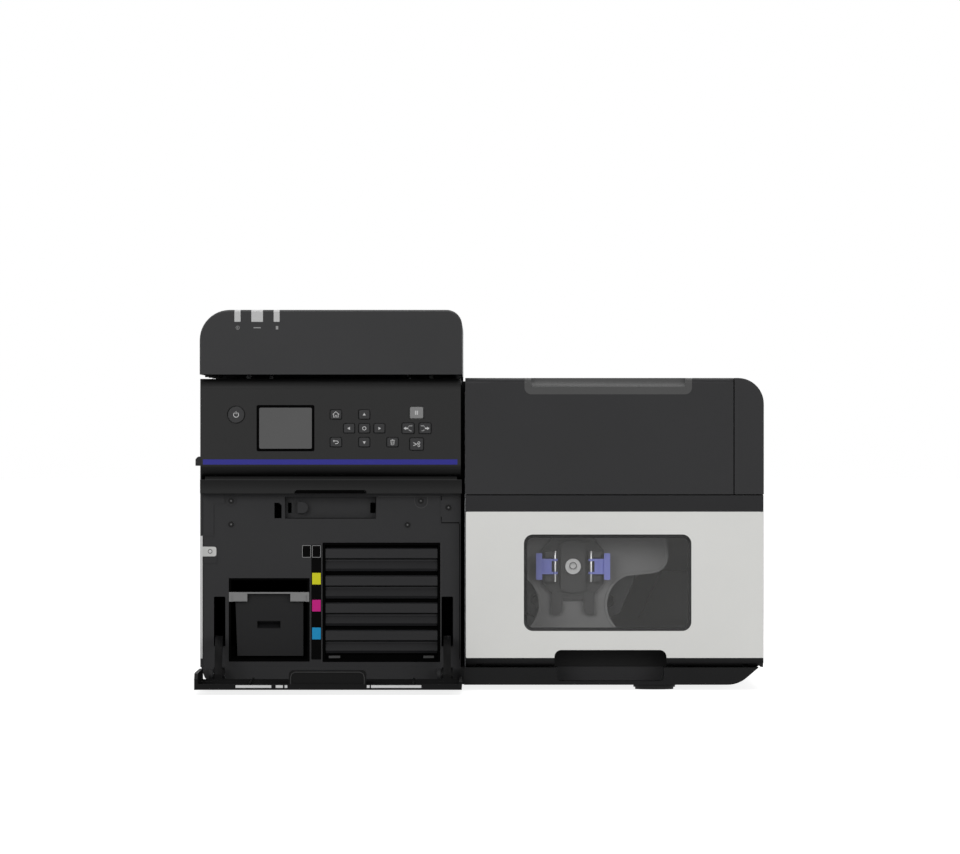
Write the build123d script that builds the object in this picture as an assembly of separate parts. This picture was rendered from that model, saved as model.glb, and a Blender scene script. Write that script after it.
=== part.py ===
from build123d import *
import os
from math import cos, radians, sin

# Inkjet label printer: a print tower on the left, a label roll section on the right.
# Millimetres. X runs to the right, Y to the rear, Z up. The origin is the middle of the footprint,
# with the ink cover folded down, at the height of the table.

# Whole machine
machine_width = 654.5
machine_depth = 742.0
tower_height = 441.0
tower_width = 304.5
roll_height = 362.0
section_gap = 3.0
guide_overhang = 7.5
foot_height = 6.0
foot_radius = 24.3
base_height = 20.0
wall = 3.0
sheet = 2.0
seam = 1.2
running_gap = 0.08
fit_gap = 0.4
hand_hole_width = 130.0
hand_hole_height = 34.0
hand_scoop_depth = 24.0

# Printer cover and the hinges at the rear
cover_depth_below_top = 75.0
cover_left_radius = 35.0
cover_right_radius = 18.0
cover_edge_radius = 3.0
lens_height = 14.0
lens_spans = ((40.3, 47.5), (59.9, 73.5), (85.8, 92.8))
deck_gap = 5.0
rear_lip_depth = 40.0
hinge_drop = 10.0
hinge_pin_radius = 4.0
hinge_lug_radius = 6.0
knuckle_length = 22.0
lug_thickness = 5.0

# Control panel. Drops are measured down from the top of the tower.
panel_drop = 196.0
panel_inset = 1.6
panel_wall = 4.0
panel_top_radius = 11.0
panel_bottom_radius = 14.0
strip_height = 16.0
button_gap = 0.9
button_flange = 1.5
display_width = 67.2
display_height = 53.7
display_border = 3.1
display_x = 99.6
display_drop = 137.3
light_strip_drop = 176.5
light_strip_height = 6.0
power_button_x = 42.3
power_button_drop = 121.7
power_button_radius = 9.6

# Buttons: distance from the left side, drop, width and height of each cap
button_sizes = {
    "home": (158.1, 121.5, 12.8, 10.4), "up": (191.0, 121.5, 12.4, 10.4),
    "left": (173.4, 137.5, 12.4, 10.4), "ok": (191.0, 137.5, 12.4, 10.4),
    "right": (208.5, 137.5, 12.4, 10.4), "back": (158.1, 153.6, 12.8, 10.4),
    "down": (191.0, 153.6, 12.4, 10.4), "cancel": (223.8, 153.6, 12.8, 10.4),
    "pause": (251.6, 119.4, 15.6, 13.2), "feed_back": (241.8, 137.5, 13.6, 11.8),
    "feed_forward": (261.5, 137.5, 13.6, 11.8), "cut": (251.7, 155.8, 15.4, 13.8),
}

# Ink bay
ink_front_setback = 22.0
ink_cover_height = 220.0
ink_cover_plate = 3.0
ink_pivot_offset = 11.0
ink_side_wall = 20.0
cartridge_width = 130.0
cartridge_height = 27.0
cartridge_depth = 210.0
cartridge_pitch = 31.8
cartridge_x = 210.7
cartridge_top = 164.5
cartridge_play = 0.5
cartridge_step = 12.4
bay_rim = 3.2
bay_recess = 9.0
service_box_width = 79.0
service_box_height = 72.5
service_box_depth = 160.0
service_box_x = 80.2
service_box_bottom = 39.0
service_bay_width = 94.7
service_bay_top = 129.7
service_bay_bottom = 32.0
ink_arm_width = 12.6
ink_arm_left = 22.6
ink_arm_right = 287.2
ink_lug_radius = 7.0
ink_pin_radius = 3.0
arm_radius = 46.0
arm_slot_width = 13.3
arm_slot_bottom = 50.0
arm_slot_top = 107.9
catch_x = 98.6
catch_width = 105.7
catch_height = 25.0
catch_drop = 46.0
grip_left = 107.6
ink_grip_width = 88.0
screw_radius = 1.6
screw_head_radius = 3.4
pad_height = 1.2
strip_left = cartridge_x + cartridge_width / 2 + 3.7

# Roll section
side_strip_width = 34.0
side_radius = 30.0
top_cover_drop = 135.0
front_cover_depth = 24.0
front_strip_height = 19.0
front_foot_height = 10.0
front_pivot_offset = 9.0
front_ear_overlap = 12.0
front_sill = 22.0
window_radius = 10.6
grip_height = 19.0
pocket_top = 46.4
spindle_z = 142.4
core_radius = 37.5
shaft_radius = 9.0
flange_radius = 78.0
lever_pin_x = 21.0
lever_pin_radius = 1.6
roll_bay_depth = 365.0
socket_window_width = 76.0

# Paper path and print mechanism
web_drop = 169.0
web_margin = 95.0
web_width = 230.0
web_slot = 15.0
roller_radius = 10.75
roller_shaft_radius = 5.0
roller_x = 253.5
gear_teeth = 22
gear_module = 1.0
gear_width = 8.0
print_gap = 4.0
cheek = 3.0
cheek_gap = 8.0
cheek_drop = 213.0
bush_radius = 8.0
cutter_x = 36.0
cutter_thickness = 8.0
dancer_radius = 5.0

# Places worked out from the sizes above
x_left = guide_overhang - (machine_width + guide_overhang) / 2
x_right = x_left + machine_width
x_tower = x_left + tower_width
x_roll = x_tower + section_gap
roll_width = x_right - x_roll
ink_pivot_z = foot_height + ink_pivot_offset
ink_reach = ink_cover_height - 2 * ink_pivot_offset
y_front = ink_reach - (machine_depth + ink_reach) / 2
y_rear = y_front + machine_depth
ink_pivot_y = y_front + ink_pivot_offset
base_top = foot_height + base_height
cover_bottom = tower_height - cover_depth_below_top
deck_top = cover_bottom - deck_gap
panel_bottom = tower_height - panel_drop
ledge_bottom = panel_bottom - 1 - strip_height
catch_bottom = panel_bottom - catch_drop
display_z = tower_height - display_drop
light_strip_z = tower_height - light_strip_drop
hinge_y = y_rear - rear_lip_depth - hinge_drop - seam
cover_hinge_z = tower_height - hinge_drop
roll_hinge_z = roll_height - hinge_drop
shelf_height = roll_height - 50
printer_hinge_places = (42.0, tower_width - 64.5)
roll_hinge_places = (40.0, roll_width - 97)
top_cover_bottom = roll_height - top_cover_drop
front_cover_top = top_cover_bottom - seam
front_cover_bottom = base_top + seam
front_pivot_y = y_front + front_pivot_offset
front_pivot_z = front_cover_bottom + front_pivot_offset
side_strip_x = x_right - side_strip_width
window_x = roll_width * 0.4778
window_width = roll_width * 0.56
window_height = roll_height * 0.3094
window_bottom = roll_height * 0.189
grip_x = x_roll + window_x + 0.7
grip_width = window_width
pocket_x = x_roll + roll_width * 0.4873
pocket_width = roll_width * 0.3746
hub_x = x_roll + roll_width * 0.364
hub_front = y_front + 62
lever_pin_y = hub_front - 6
inlet_x = x_roll + roll_width * 0.72
inlet_z = base_top + 62
web_height = tower_height - web_drop
web_front = y_front + web_margin
web_rear = web_front + web_width
bay_rear = y_front + roll_bay_depth
bay_face = y_front + ink_front_setback
cheek_bottom = tower_height - cheek_drop
feed_z = web_height - roller_radius
pinch_z = feed_z + gear_teeth * gear_module
dancer_x = x_roll + 92
dancer_z = roll_height - 32
screw_places = ((36.0, catch_bottom + 20.2), (36.0, catch_bottom - 7.1), (256.5, catch_bottom + 20.2),
                (288.6, catch_bottom + 12.5), (241.0, catch_bottom - 7.6), (11.4, 160.8))

pieces = {}


def block(x0, x1, y0, y1, z0, z1):
    middle = Pos((x0 + x1) / 2, (y0 + y1) / 2, (z0 + z1) / 2)
    return middle * Box(x1 - x0, y1 - y0, z1 - z0)


def panel(x0, x1, z0, z1, radius=0.0):
    """A rectangle in the front view, with rounded corners."""
    middle = Pos((x0 + x1) / 2, (z0 + z1) / 2)
    if radius > 0:
        return middle * RectangleRounded(x1 - x0, z1 - z0, radius)
    return middle * Rectangle(x1 - x0, z1 - z0)


def front_to_back(outline, y0, y1):
    """A front view outline, X and Z, made solid from y0 back to y1."""
    return extrude(Plane.XZ.offset(-y1) * outline, amount=y1 - y0)


def left_to_right(outline, x0, x1):
    """A side view outline, Y and Z, made solid from x0 to x1."""
    return extrude(Plane.YZ.offset(x0) * outline, amount=x1 - x0)


def upward(outline, z0, z1):
    return extrude(Plane.XY.offset(z0) * outline, amount=z1 - z0)


def rod_y(x, z, radius, y0, y1):
    return front_to_back(Pos(x, z) * Circle(radius), y0, y1)


def rod_x(y, z, radius, x0, x1):
    return left_to_right(Pos(y, z) * Circle(radius), x0, x1)


def rod_z(x, y, radius, z0, z1):
    return upward(Pos(x, y) * Circle(radius), z0, z1)


def polygon(*points):
    return make_face(Polyline(*points, close=True))


# Casing

def base_tray():
    """Moulded floor with sides that draw in to the feet, a hand pocket in front and vents below."""
    low = foot_height
    edges = [
        Line((x_left + 1, base_top), (x_left + 5, low + 8)), Line((x_left + 5, low + 8), (x_left + 13, low)),
        Line((x_left + 13, low), (x_right - 43, low)),
        ThreePointArc((x_right - 43, low), (x_right - 30, low + 2.2), (x_right - 19, low + 9)),
        Line((x_right - 19, low + 9), (x_right - 6, base_top)),
        Line((x_right - 6, base_top), (x_left + 1, base_top)),
    ]
    tray = front_to_back(make_face(edges), y_front, y_rear)
    tray -= block(x_left - 1, x_roll - 1, y_front - 1, bay_face, 0, base_top + 1)
    floor_top = low + wall
    tray -= block(x_left + 16, x_roll - 8, bay_face + 6, y_rear - 8, floor_top, base_top + 1)
    tray -= block(x_roll + 4, x_right - 47, y_front + 70, y_rear - 8, floor_top, base_top + 1)
    half = pocket_width / 2 - 3
    tray -= front_to_back(panel(pocket_x - half, pocket_x + half, low + 4, base_top + 10, 4),
                          y_front - 1, y_front + 46)
    vents = [block(x, x + 4, y_front + 180, y_front + 260, 0, floor_top + 1)
             for x in [x_roll + 60 + 14 * i for i in range(8)]]
    tray = tray - vents
    lugs = [ink_hinge_lug(x) for x in ink_lug_places()]
    return tray + lugs


def ink_lug_places():
    left = x_left + ink_arm_left - ink_arm_width / 2 - lug_thickness - fit_gap
    right = x_left + ink_arm_right - ink_arm_width / 2 - lug_thickness - fit_gap
    return [left, right]


def ink_hinge_lug(x):
    """One ear that carries an end of the ink cover's pin."""
    ear = rod_x(ink_pivot_y, ink_pivot_z, ink_lug_radius, x, x + lug_thickness)
    ear += block(x, x + lug_thickness, ink_pivot_y, bay_face + 1,
                 ink_pivot_z - ink_lug_radius, ink_pivot_z + ink_lug_radius)
    return ear - rod_x(ink_pivot_y, ink_pivot_z, ink_pin_radius, x - 1, x + lug_thickness + 1)


def feet():
    """Round feet: the outer ring stands on the table, the inner one is hollow for a screw."""
    places = [(x, y) for x in (x_left + 70, x_roll + roll_width * 0.636) for y in (y_front + 75, y_rear - 60)]
    places[2] = (places[2][0], y_front + 45)
    solids = []
    for x, y in places:
        foot = rod_z(x, y, foot_radius - 2, 0, 2.6) + rod_z(x, y, foot_radius, 2.6, foot_height)
        solids.append(foot - rod_z(x, y, 5, -1, 1.2))
    return solids


def right_side_panel():
    """Side wall that turns over the top and round the front beside the roll cover."""
    inner_radius = side_radius - wall
    outer = panel(side_strip_x, x_right, base_top, roll_height)
    outer -= corner_cut(x_right, roll_height, side_radius, 1)
    inner = panel(side_strip_x - 1, x_right - wall, base_top - 1, roll_height - wall)
    inner -= corner_cut(x_right - wall, roll_height - wall, inner_radius, 1)
    side = front_to_back(outer, y_front, y_rear - wall)
    side -= front_to_back(inner, y_front + wall, y_rear)
    side -= block(side_strip_x - 1, x_right + 1, y_front - 1, y_front + front_cover_depth + 2,
                  base_top - 1, top_cover_bottom)
    side -= side_vents(x_right - wall, roll_height - 110)
    y = y_front + 435
    side += left_to_right(hand_hole(y, 2.5), x_right - hand_scoop_depth, x_right - wall / 2)
    return side - left_to_right(hand_hole(y, 0), x_right - hand_scoop_depth + 2, x_right + 1)


def hand_hole(y, grow):
    """Outline of a hand hole in a side wall, or of the scoop behind it."""
    return Pos(y, base_top + 70) * RectangleRounded(hand_hole_width + 2 * grow, hand_hole_height + 2 * grow,
                                                    12 + grow)


def side_vents(x, z):
    """Cuts for a row of upright vents near the rear of a side wall."""
    return [left_to_right(Pos(y_rear - 150 + 12 * i, z) * RectangleRounded(5, 70, 2.4), x - 1, x + wall + 1)
            for i in range(8)]


def left_side_panel():
    """Flat side wall with the label exit, a hand hole and vents."""
    side = block(x_left, x_left + wall, bay_face, y_rear - wall, base_top, deck_top)
    side -= block(x_left - 1, x_left + wall + 1, web_front - 10, web_rear + 10,
                  web_height - 4, web_height - 4 + web_slot)
    side -= side_vents(x_left, deck_top - 110)
    y = y_rear - 230
    side += left_to_right(hand_hole(y, 2.5), x_left + wall / 2, x_left + hand_scoop_depth)
    return side - left_to_right(hand_hole(y, 0), x_left - 1, x_left + hand_scoop_depth - 2)


def mid_wall():
    """Steel wall between the tower and the roll bay, with the slot that the web runs through."""
    side = block(x_roll, x_roll + sheet, y_front + front_cover_depth + 3, y_rear - wall - 1,
                 base_top, roll_height - 16)
    side -= block(x_roll - 1, x_roll + sheet + 1, web_front - 10, web_rear + 10,
                  web_height - 14, web_height + 14)
    side -= left_to_right(Pos(y_rear - 120, base_top + 60) * RectangleRounded(120, 60, 8),
                          x_roll - 1, x_roll + sheet + 1)
    return side


def rear_panel():
    """Rear wall in the stepped outline of the machine, with lips over the two hinges."""
    tower = panel(x_left, x_tower, base_top, tower_height)
    tower -= corner_cut(x_left, tower_height, cover_left_radius, -1)
    tower -= corner_cut(x_tower, tower_height, cover_right_radius, 1)
    roll = panel(x_tower - 1, x_right, base_top, roll_height)
    roll -= corner_cut(x_right, roll_height, side_radius, 1)
    wall_plate = front_to_back(tower + roll, y_rear - wall, y_rear)
    tower_lip = panel(x_left, x_tower, cover_bottom, tower_height)
    tower_lip -= corner_cut(x_left, tower_height, cover_left_radius, -1)
    tower_lip -= corner_cut(x_tower, tower_height, cover_right_radius, 1)
    tower_core = panel(x_left + wall, x_tower - wall, cover_bottom - 1, tower_height - wall)
    tower_core -= corner_cut(x_left + wall, tower_height - wall, cover_left_radius - wall, -1)
    tower_core -= corner_cut(x_tower - wall, tower_height - wall, cover_right_radius - wall, 1)
    lip_front = y_rear - rear_lip_depth
    wall_plate += front_to_back(tower_lip - tower_core, lip_front, y_rear - wall)
    wall_plate += block(x_roll, side_strip_x, lip_front, y_rear - wall, roll_height - wall, roll_height)
    socket_window = Pos(x_left + 90, base_top + 62) * RectangleRounded(socket_window_width, 26, 2)
    wall_plate -= front_to_back(socket_window, y_rear - wall - 1, y_rear + 1)
    wall_plate -= front_to_back(panel(inlet_x - 13.9, inlet_x + 13.9, inlet_z - 10.4, inlet_z + 10.4, 2),
                                y_rear - wall - 1, y_rear + 1)
    fan_vents = [front_to_back(Pos(x_left + 152, 250) * SlotArc(
        CenterArc((0, 0), 16 + 9 * ring, 45 * (ring % 2) + 90 * quarter + 15, 60), 4),
        y_rear - wall - 1, y_rear + 1) for ring in range(3) for quarter in range(4)]
    slots = [front_to_back(Pos(x_roll + 70 + 14 * i, 250) * RectangleRounded(6, 90, 2.9),
                           y_rear - wall - 1, y_rear + 1) for i in range(14)]
    wall_plate = wall_plate - fan_vents - slots
    wall_plate += block(x_roll + 2.4, x_right - wall - 0.4, hinge_y - 14, y_rear - wall,
                        shelf_height, shelf_height + wall)
    return wall_plate + hinge_posts(x_roll, roll_hinge_places, roll_hinge_z, shelf_height + 1)


def corner_cut(x, z, radius, side):
    """What a rounded top corner takes away: side is -1 at the left end and 1 at the right end."""
    square = panel(min(x, x - side * radius), max(x, x - side * radius), z - radius, z)
    return square - Pos(x - side * radius, z - radius) * Circle(radius)


# Hinges at the rear

def hinge_posts(x_start, places, pivot_z, foot_z):
    """Pairs of posts on each side of a cover's knuckle."""
    posts = []
    for place in places:
        for x in (x_start + place - lug_thickness - fit_gap, x_start + place + knuckle_length + fit_gap):
            post = block(x, x + lug_thickness, hinge_y - hinge_lug_radius, hinge_y + hinge_lug_radius,
                         foot_z, pivot_z)
            post += rod_x(hinge_y, pivot_z, hinge_lug_radius, x, x + lug_thickness)
            posts.append(post - rod_x(hinge_y, pivot_z, hinge_pin_radius, x - 1, x + lug_thickness + 1))
    return posts


def knuckles(x_start, places, pivot_z, top_z):
    """The cover's barrels, which turn on the pins."""
    barrels = []
    for place in places:
        x0 = x_start + place
        x1 = x0 + knuckle_length
        barrel = rod_x(hinge_y, pivot_z, hinge_drop - 1, x0, x1)
        barrel += block(x0, x1, hinge_y - hinge_drop + 1, hinge_y + 3, pivot_z, top_z - wall / 2)
        barrels.append(barrel)
    return barrels


def knuckle_bores(x_start, places, pivot_z):
    return [rod_x(hinge_y, pivot_z, hinge_pin_radius + running_gap,
                  x_start + place - 1, x_start + place + knuckle_length + 1) for place in places]


def hinge_pins():
    """Steel pins of the four covers and the upright rods of the two lock levers."""
    pins = []
    for x_start, places, pivot_z in ((x_left, printer_hinge_places, cover_hinge_z),
                                     (x_roll, roll_hinge_places, roll_hinge_z)):
        for place in places:
            pins.append(rod_x(hinge_y, pivot_z, hinge_pin_radius,
                              x_start + place - lug_thickness - fit_gap,
                              x_start + place + knuckle_length + lug_thickness + fit_gap))
    for x in ink_lug_places():
        pins.append(rod_x(ink_pivot_y, ink_pivot_z, ink_pin_radius, x,
                          x + lug_thickness + fit_gap + ink_arm_width))
    for x0, x1 in front_ear_spans():
        pins.append(rod_x(front_pivot_y, front_pivot_z, ink_pin_radius, x0, x1 + front_ear_overlap))
    for side in (-1, 1):
        pins.append(rod_z(hub_x + side * lever_pin_x, lever_pin_y, lever_pin_radius,
                          spindle_z - 18, spindle_z + 18))
    return pins


# Printer cover

def tower_outline(inset):
    outline = panel(x_left + inset, x_tower - inset, cover_bottom - inset, tower_height - inset)
    outline -= corner_cut(x_left + inset, tower_height - inset, cover_left_radius - inset, -1)
    outline -= corner_cut(x_tower - inset, tower_height - inset, cover_right_radius - inset, 1)
    return outline


def printer_cover_shell():
    shell = front_to_back(tower_outline(0), y_front, hinge_y + 7)
    front_edges = shell.edges().group_by(Axis.Y)[0].filter_by(
        lambda edge: edge.center().Z > cover_bottom + 1)
    shell = chamfer(front_edges, cover_edge_radius, cover_edge_radius * 0.6)
    shell -= front_to_back(tower_outline(wall), y_front + wall, hinge_y + 8)
    return shell


def lens_boxes():
    low = tower_height - lens_height
    return [block(x_left + a, x_left + b, y_front - 1, y_front + 14, low, tower_height + 1)
            for a, b in lens_spans]


def printer_cover():
    shell = printer_cover_shell() - lens_boxes()
    shell = shell + knuckles(x_left, printer_hinge_places, cover_hinge_z, tower_height)
    shell = shell - knuckle_bores(x_left, printer_hinge_places, cover_hinge_z)
    rib_places = [y_front + 120 + 140 * i for i in range(4)]
    ribs = [front_to_back(tower_outline(wall - 0.5) - tower_outline(wall + 5), y, y + 2) for y in rib_places]
    return shell + ribs


def status_lights():
    shell = printer_cover_shell()
    return [shell & lens for lens in lens_boxes()]


# Control panel

def control_panel():
    """Panel moulding that rolls back at its top and bottom, above a flat ledge with a finger recess."""
    outer = side_outline(y_front, bay_face, panel_bottom, deck_top)
    shell = left_to_right(outer, x_left + panel_inset, x_tower - panel_inset)
    inner = panel(y_front + panel_wall, bay_face + 1, panel_bottom + panel_wall, deck_top - panel_wall)
    shell -= left_to_right(inner, x_left + panel_inset + wall, x_tower - panel_inset - wall)
    ledge = block(x_left + 0.4, x_tower - 0.4, y_front, bay_face, ledge_bottom, panel_bottom - 1)
    ledge -= block(x_left + 4, x_tower - 4, y_front + wall, bay_face + 1, ledge_bottom + 2, panel_bottom - 4)
    ledge -= front_to_back(panel(x_left + 110, x_left + 193.5, ledge_bottom - 7, ledge_bottom + 4, 3),
                           y_front - 1, y_front + 12)
    joint = block(x_left + 6, x_tower - 6, y_front + 6, bay_face, panel_bottom - 3, panel_bottom + 3)
    shell = shell + ledge + joint
    for x, drop, width, height in button_sizes.values():
        hole = RectangleRounded(width + 2 * button_gap, height + 2 * button_gap, 2.2)
        shell -= front_to_back(Pos(x_left + x, tower_height - drop) * hole,
                               y_front - 1, y_front + panel_wall + 1)
    shell -= rod_y(x_left + power_button_x, tower_height - power_button_drop,
                   power_button_radius + button_gap, y_front - 1, y_front + panel_wall + 1)
    shell -= front_to_back(display_outline(0), y_front - 1, y_front + 1.6)
    shell -= front_to_back(display_outline(0) - display_outline(display_border + 0.6), y_front, y_front + 2.8)
    shell -= light_strip_solid()
    return shell


def side_outline(y0, y1, z0, z1):
    """Side view of the panel: flat face with large radii at the top and bottom edges."""
    outline = panel(y0, y1, z0, z1)
    top = panel(y0, y0 + panel_top_radius, z1 - panel_top_radius, z1)
    top -= Pos(y0 + panel_top_radius, z1 - panel_top_radius) * Circle(panel_top_radius)
    bottom = panel(y0, y0 + panel_bottom_radius, z0, z0 + panel_bottom_radius)
    bottom -= Pos(y0 + panel_bottom_radius, z0 + panel_bottom_radius) * Circle(panel_bottom_radius)
    return outline - top - bottom


def display_outline(inset):
    x, half_width, half_height = x_left + display_x, display_width / 2 - inset, display_height / 2 - inset
    return panel(x - half_width, x + half_width, display_z - half_height, display_z + half_height, 2.0)


def light_strip_solid():
    return block(x_left + 3.8, x_tower - 5.5, y_front, y_front + 1.8,
                 light_strip_z - light_strip_height / 2, light_strip_z + light_strip_height / 2)


def display_glass():
    return front_to_back(display_outline(display_border), y_front + 0.5, y_front + 1.6)


def button(x, z, width, height):
    """A cap with softened edges, and a wider flange that keeps it behind the panel."""
    cap = front_to_back(Pos(x, z) * RectangleRounded(width, height, 1.8), y_front - 0.9,
                        y_front + panel_wall + 0.4)
    cap = chamfer(cap.edges().group_by(Axis.Y)[0], 0.5)
    flange = front_to_back(Pos(x, z) * Rectangle(width + 2 * button_flange, height + 2 * button_flange),
                           y_front + panel_wall + 0.3, y_front + panel_wall + 1.3)
    return cap + flange


def power_button():
    x, z = x_left + power_button_x, tower_height - power_button_drop
    cap = rod_y(x, z, power_button_radius, y_front - 0.9, y_front + panel_wall + 0.4)
    cap = chamfer(cap.edges().group_by(Axis.Y)[0], 0.6)
    return cap + rod_y(x, z, power_button_radius + button_flange, y_front + panel_wall + 0.3,
                       y_front + panel_wall + 1.3)


# Ink bay

def ink_bay_front():
    """Front wall behind the folded ink cover: plate with the bays, right strip and catch tray."""
    y0, y1, top = bay_face, bay_face + wall, ledge_bottom
    plate = block(x_left + wall + 0.3, x_tower - panel_inset, y0, y1, base_top, top)
    for x_from, x_to, low, high in ink_bay_pads():
        plate += block(x_left + x_from, x_left + x_to, y0 - pad_height, y0, low, high)
    plate -= front_to_back(panel(x_left + 285, x_left + 296, catch_bottom + 8.8, catch_bottom + 16, 3),
                           y0 - pad_height - 1, y0 - 0.4)
    catch = panel(x_left + catch_x, x_left + catch_x + catch_width,
                  catch_bottom, catch_bottom + catch_height, 2)
    pocket = panel(x_left + catch_x - 2, x_left + catch_x + catch_width + 2,
                   catch_bottom - 2, catch_bottom + catch_height + 2, 2)
    tray = front_to_back(pocket, y1, y1 + 12) - front_to_back(catch, y1 - 1, y1 + 10)
    plate -= front_to_back(catch, y0 - 5, y1 + 1)
    x, z = x_left + catch_x + 19, catch_bottom + 12.5
    key = panel(x - 4.5, x + 1, z - 6.5, z + 6.5) + Pos(x + 1, z) * Circle(6.5)
    key -= panel(x - 9, x - 4.5, z - 7, z + 7)
    tray += front_to_back(key, y0 + 3, y1 + 10.5)
    for x_from, x_to in ((3.2, 7.4), (catch_width - 6.8, catch_width - 0.6)):
        tray -= front_to_back(panel(x_left + catch_x + x_from, x_left + catch_x + x_to,
                                    catch_bottom + 6, catch_bottom + 18), y1 + 9, y1 + 13)
    x0, x1 = x_left + catch_x - 12.4, x_left + catch_x - 4
    side_pocket = polygon((x0, catch_bottom), (x1, catch_bottom), (x1, catch_bottom + 15),
                          (x1 - 3, catch_bottom + 18), (x0, catch_bottom + 18))
    plate -= front_to_back(side_pocket, y0 - 5, y1 + 1)
    for x in (ink_arm_left, ink_arm_right):
        plate -= front_to_back(panel(x_left + x - arm_slot_width / 2, x_left + x + arm_slot_width / 2,
                                     arm_slot_bottom, arm_slot_top, 1.5), y0 - 5, y1 + 1)
    plate -= front_to_back(cartridge_bay_outline(-0.3), y0 - 1, y1 + 1)
    plate -= front_to_back(service_bay_outline(-0.3), y0 - 1, y1 + 1)
    for i, (x, z) in enumerate(screw_places):
        plate -= rod_y(x_left + x, z, screw_radius + 0.02, y0 - 5, y1 + 1)
        if i in (0, 2):
            groove = Circle(6.6) - Circle(5.9)
            plate -= front_to_back(Pos(x_left + x, z) * groove, y0 - 1, y0 + 0.7)
    strip_region = block(x_left + strip_left, x_tower, y0 - 5, y1 + 5, base_top - 1, top + 1)
    return [plate - strip_region, plate & strip_region, tray]


def ink_bay_pads():
    """Raised fields on the ink bay front, as left, right, low and high places."""
    top = ledge_bottom
    return [(wall + 0.3, 15.8, catch_bottom - 20.4, top), (15.8, 28.3, top - 12, top),
            (strip_left, tower_width - panel_inset, top - 34.5, top), (wall + 0.3, 19.4, 146.4, 154.7)]


def cartridge_bay_outline(grow):
    low = cartridge_top - 3 * cartridge_pitch - cartridge_height - 10.6
    half = cartridge_width / 2 + 4 + grow
    return panel(x_left + cartridge_x - half, x_left + cartridge_x + half,
                 low - grow, cartridge_top + 6.5 + grow)


def service_bay_outline(grow):
    return panel(x_left + service_box_x - service_bay_width / 2 - grow,
                 x_left + service_box_x + service_bay_width / 2 + grow,
                 service_bay_bottom - grow, service_bay_top + grow)


def cartridge_bay():
    """Housing with four slots, one above the other, their webs set back behind a thin rim."""
    y0 = bay_face
    housing = front_to_back(cartridge_bay_outline(-0.4), y0, y0 + cartridge_depth + 18)
    housing -= front_to_back(cartridge_bay_outline(-bay_rim), y0 - 1, y0 + bay_recess)
    for i in range(4):
        top = cartridge_top - i * cartridge_pitch
        slot = panel(x_left + cartridge_x - cartridge_width / 2 - cartridge_play,
                     x_left + cartridge_x + cartridge_width / 2 + cartridge_play,
                     top - cartridge_height - cartridge_play, top + cartridge_play)
        housing -= front_to_back(slot, y0 - 1, y0 + cartridge_depth + 12)
        for side in (-1, 1):
            x = x_left + cartridge_x + side * 40
            housing += rod_y(x, top - cartridge_height / 2, 2.4,
                             y0 + cartridge_depth + 5, y0 + cartridge_depth + 13)
    return housing


def cartridge(i):
    """Ink cartridge: a raked upper face over a finger hollow, a code step and two port holes."""
    y0 = bay_face + 1
    y1 = y0 + cartridge_depth
    top = cartridge_top - i * cartridge_pitch
    low = top - cartridge_height
    split = top - cartridge_step
    side = polygon((y0 + 2.2, top), (y0 + 0.6, top - 1.4), (y0, split + 0.6), (y0 + 0.6, split),
                   (y0 + 5, split - 1.2), (y0 + 5, split - 3), (y0 + 1.4, low + 3), (y0 + 2.6, low),
                   (y1, low), (y1, top))
    x_middle = x_left + cartridge_x
    body = left_to_right(side, x_middle - cartridge_width / 2, x_middle + cartridge_width / 2)
    for edge in (-1, 1):
        x = x_middle + edge * 40
        body -= rod_y(x, low + cartridge_height / 2, 3.4, y1 - 14, y1 + 1)
    x_code = x_middle - cartridge_width / 2 + 12 + 22 * i
    return body - block(x_code, x_code + 8, y1 - 6, y1 + 1, top - 3, top + 1)


def maintenance_bay():
    """Sleeve that the maintenance box slides into, with two guide shoulders at its mouth."""
    y0 = bay_face
    y1 = y0 + service_box_depth + 24
    thickness = 2.4
    sleeve = front_to_back(service_bay_outline(-0.4), y0, y1)
    sleeve -= front_to_back(service_bay_outline(-0.4 - thickness), y0 - 1, y1 - thickness)
    x_middle = x_left + service_box_x
    half = service_box_width / 2 + fit_gap
    outer = service_bay_width / 2 - 1
    for side in (-1, 1):
        xs = sorted((x_middle + side * half, x_middle + side * outer))
        sleeve += block(xs[0], xs[1], y0 + 14, y1 - 1, service_bay_bottom + 1, service_bay_bottom + 18)
    shelf = service_box_bottom - fit_gap
    sleeve += block(x_middle - outer, x_middle + outer, y0 + 14, y1 - 1, service_bay_bottom + 1, shelf)
    return sleeve


def maintenance_box():
    """Waste ink box with a finger notch, tapering slightly to its foot."""
    y0 = bay_face + 5
    y1 = y0 + service_box_depth
    x = x_left + service_box_x
    low, top = service_box_bottom, service_box_bottom + service_box_height
    half = service_box_width / 2
    outline = polygon((x - half, top), (x + half, top), (x + half, low), (x - half + 2.4, low),
                      (x - half, top - 2.5))
    box = front_to_back(outline, y0, y1)
    notch = polygon((y0 - 1, low + 40.6), (y0 + 12, low + 40.6), (y0 + 12, low + 38.6), (y0 - 1, low + 31.4))
    box -= left_to_right(notch, x - 14, x + 13)
    box -= front_to_back(panel(x - half + 4, x + half - 4, top - 6, top - 2.5, 1), y0 - 1, y0 + 2)
    box -= block(x - half + 6, x + half - 6, y0 + 10, y1 - 6, top - 2, top + 1)
    return box


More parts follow.
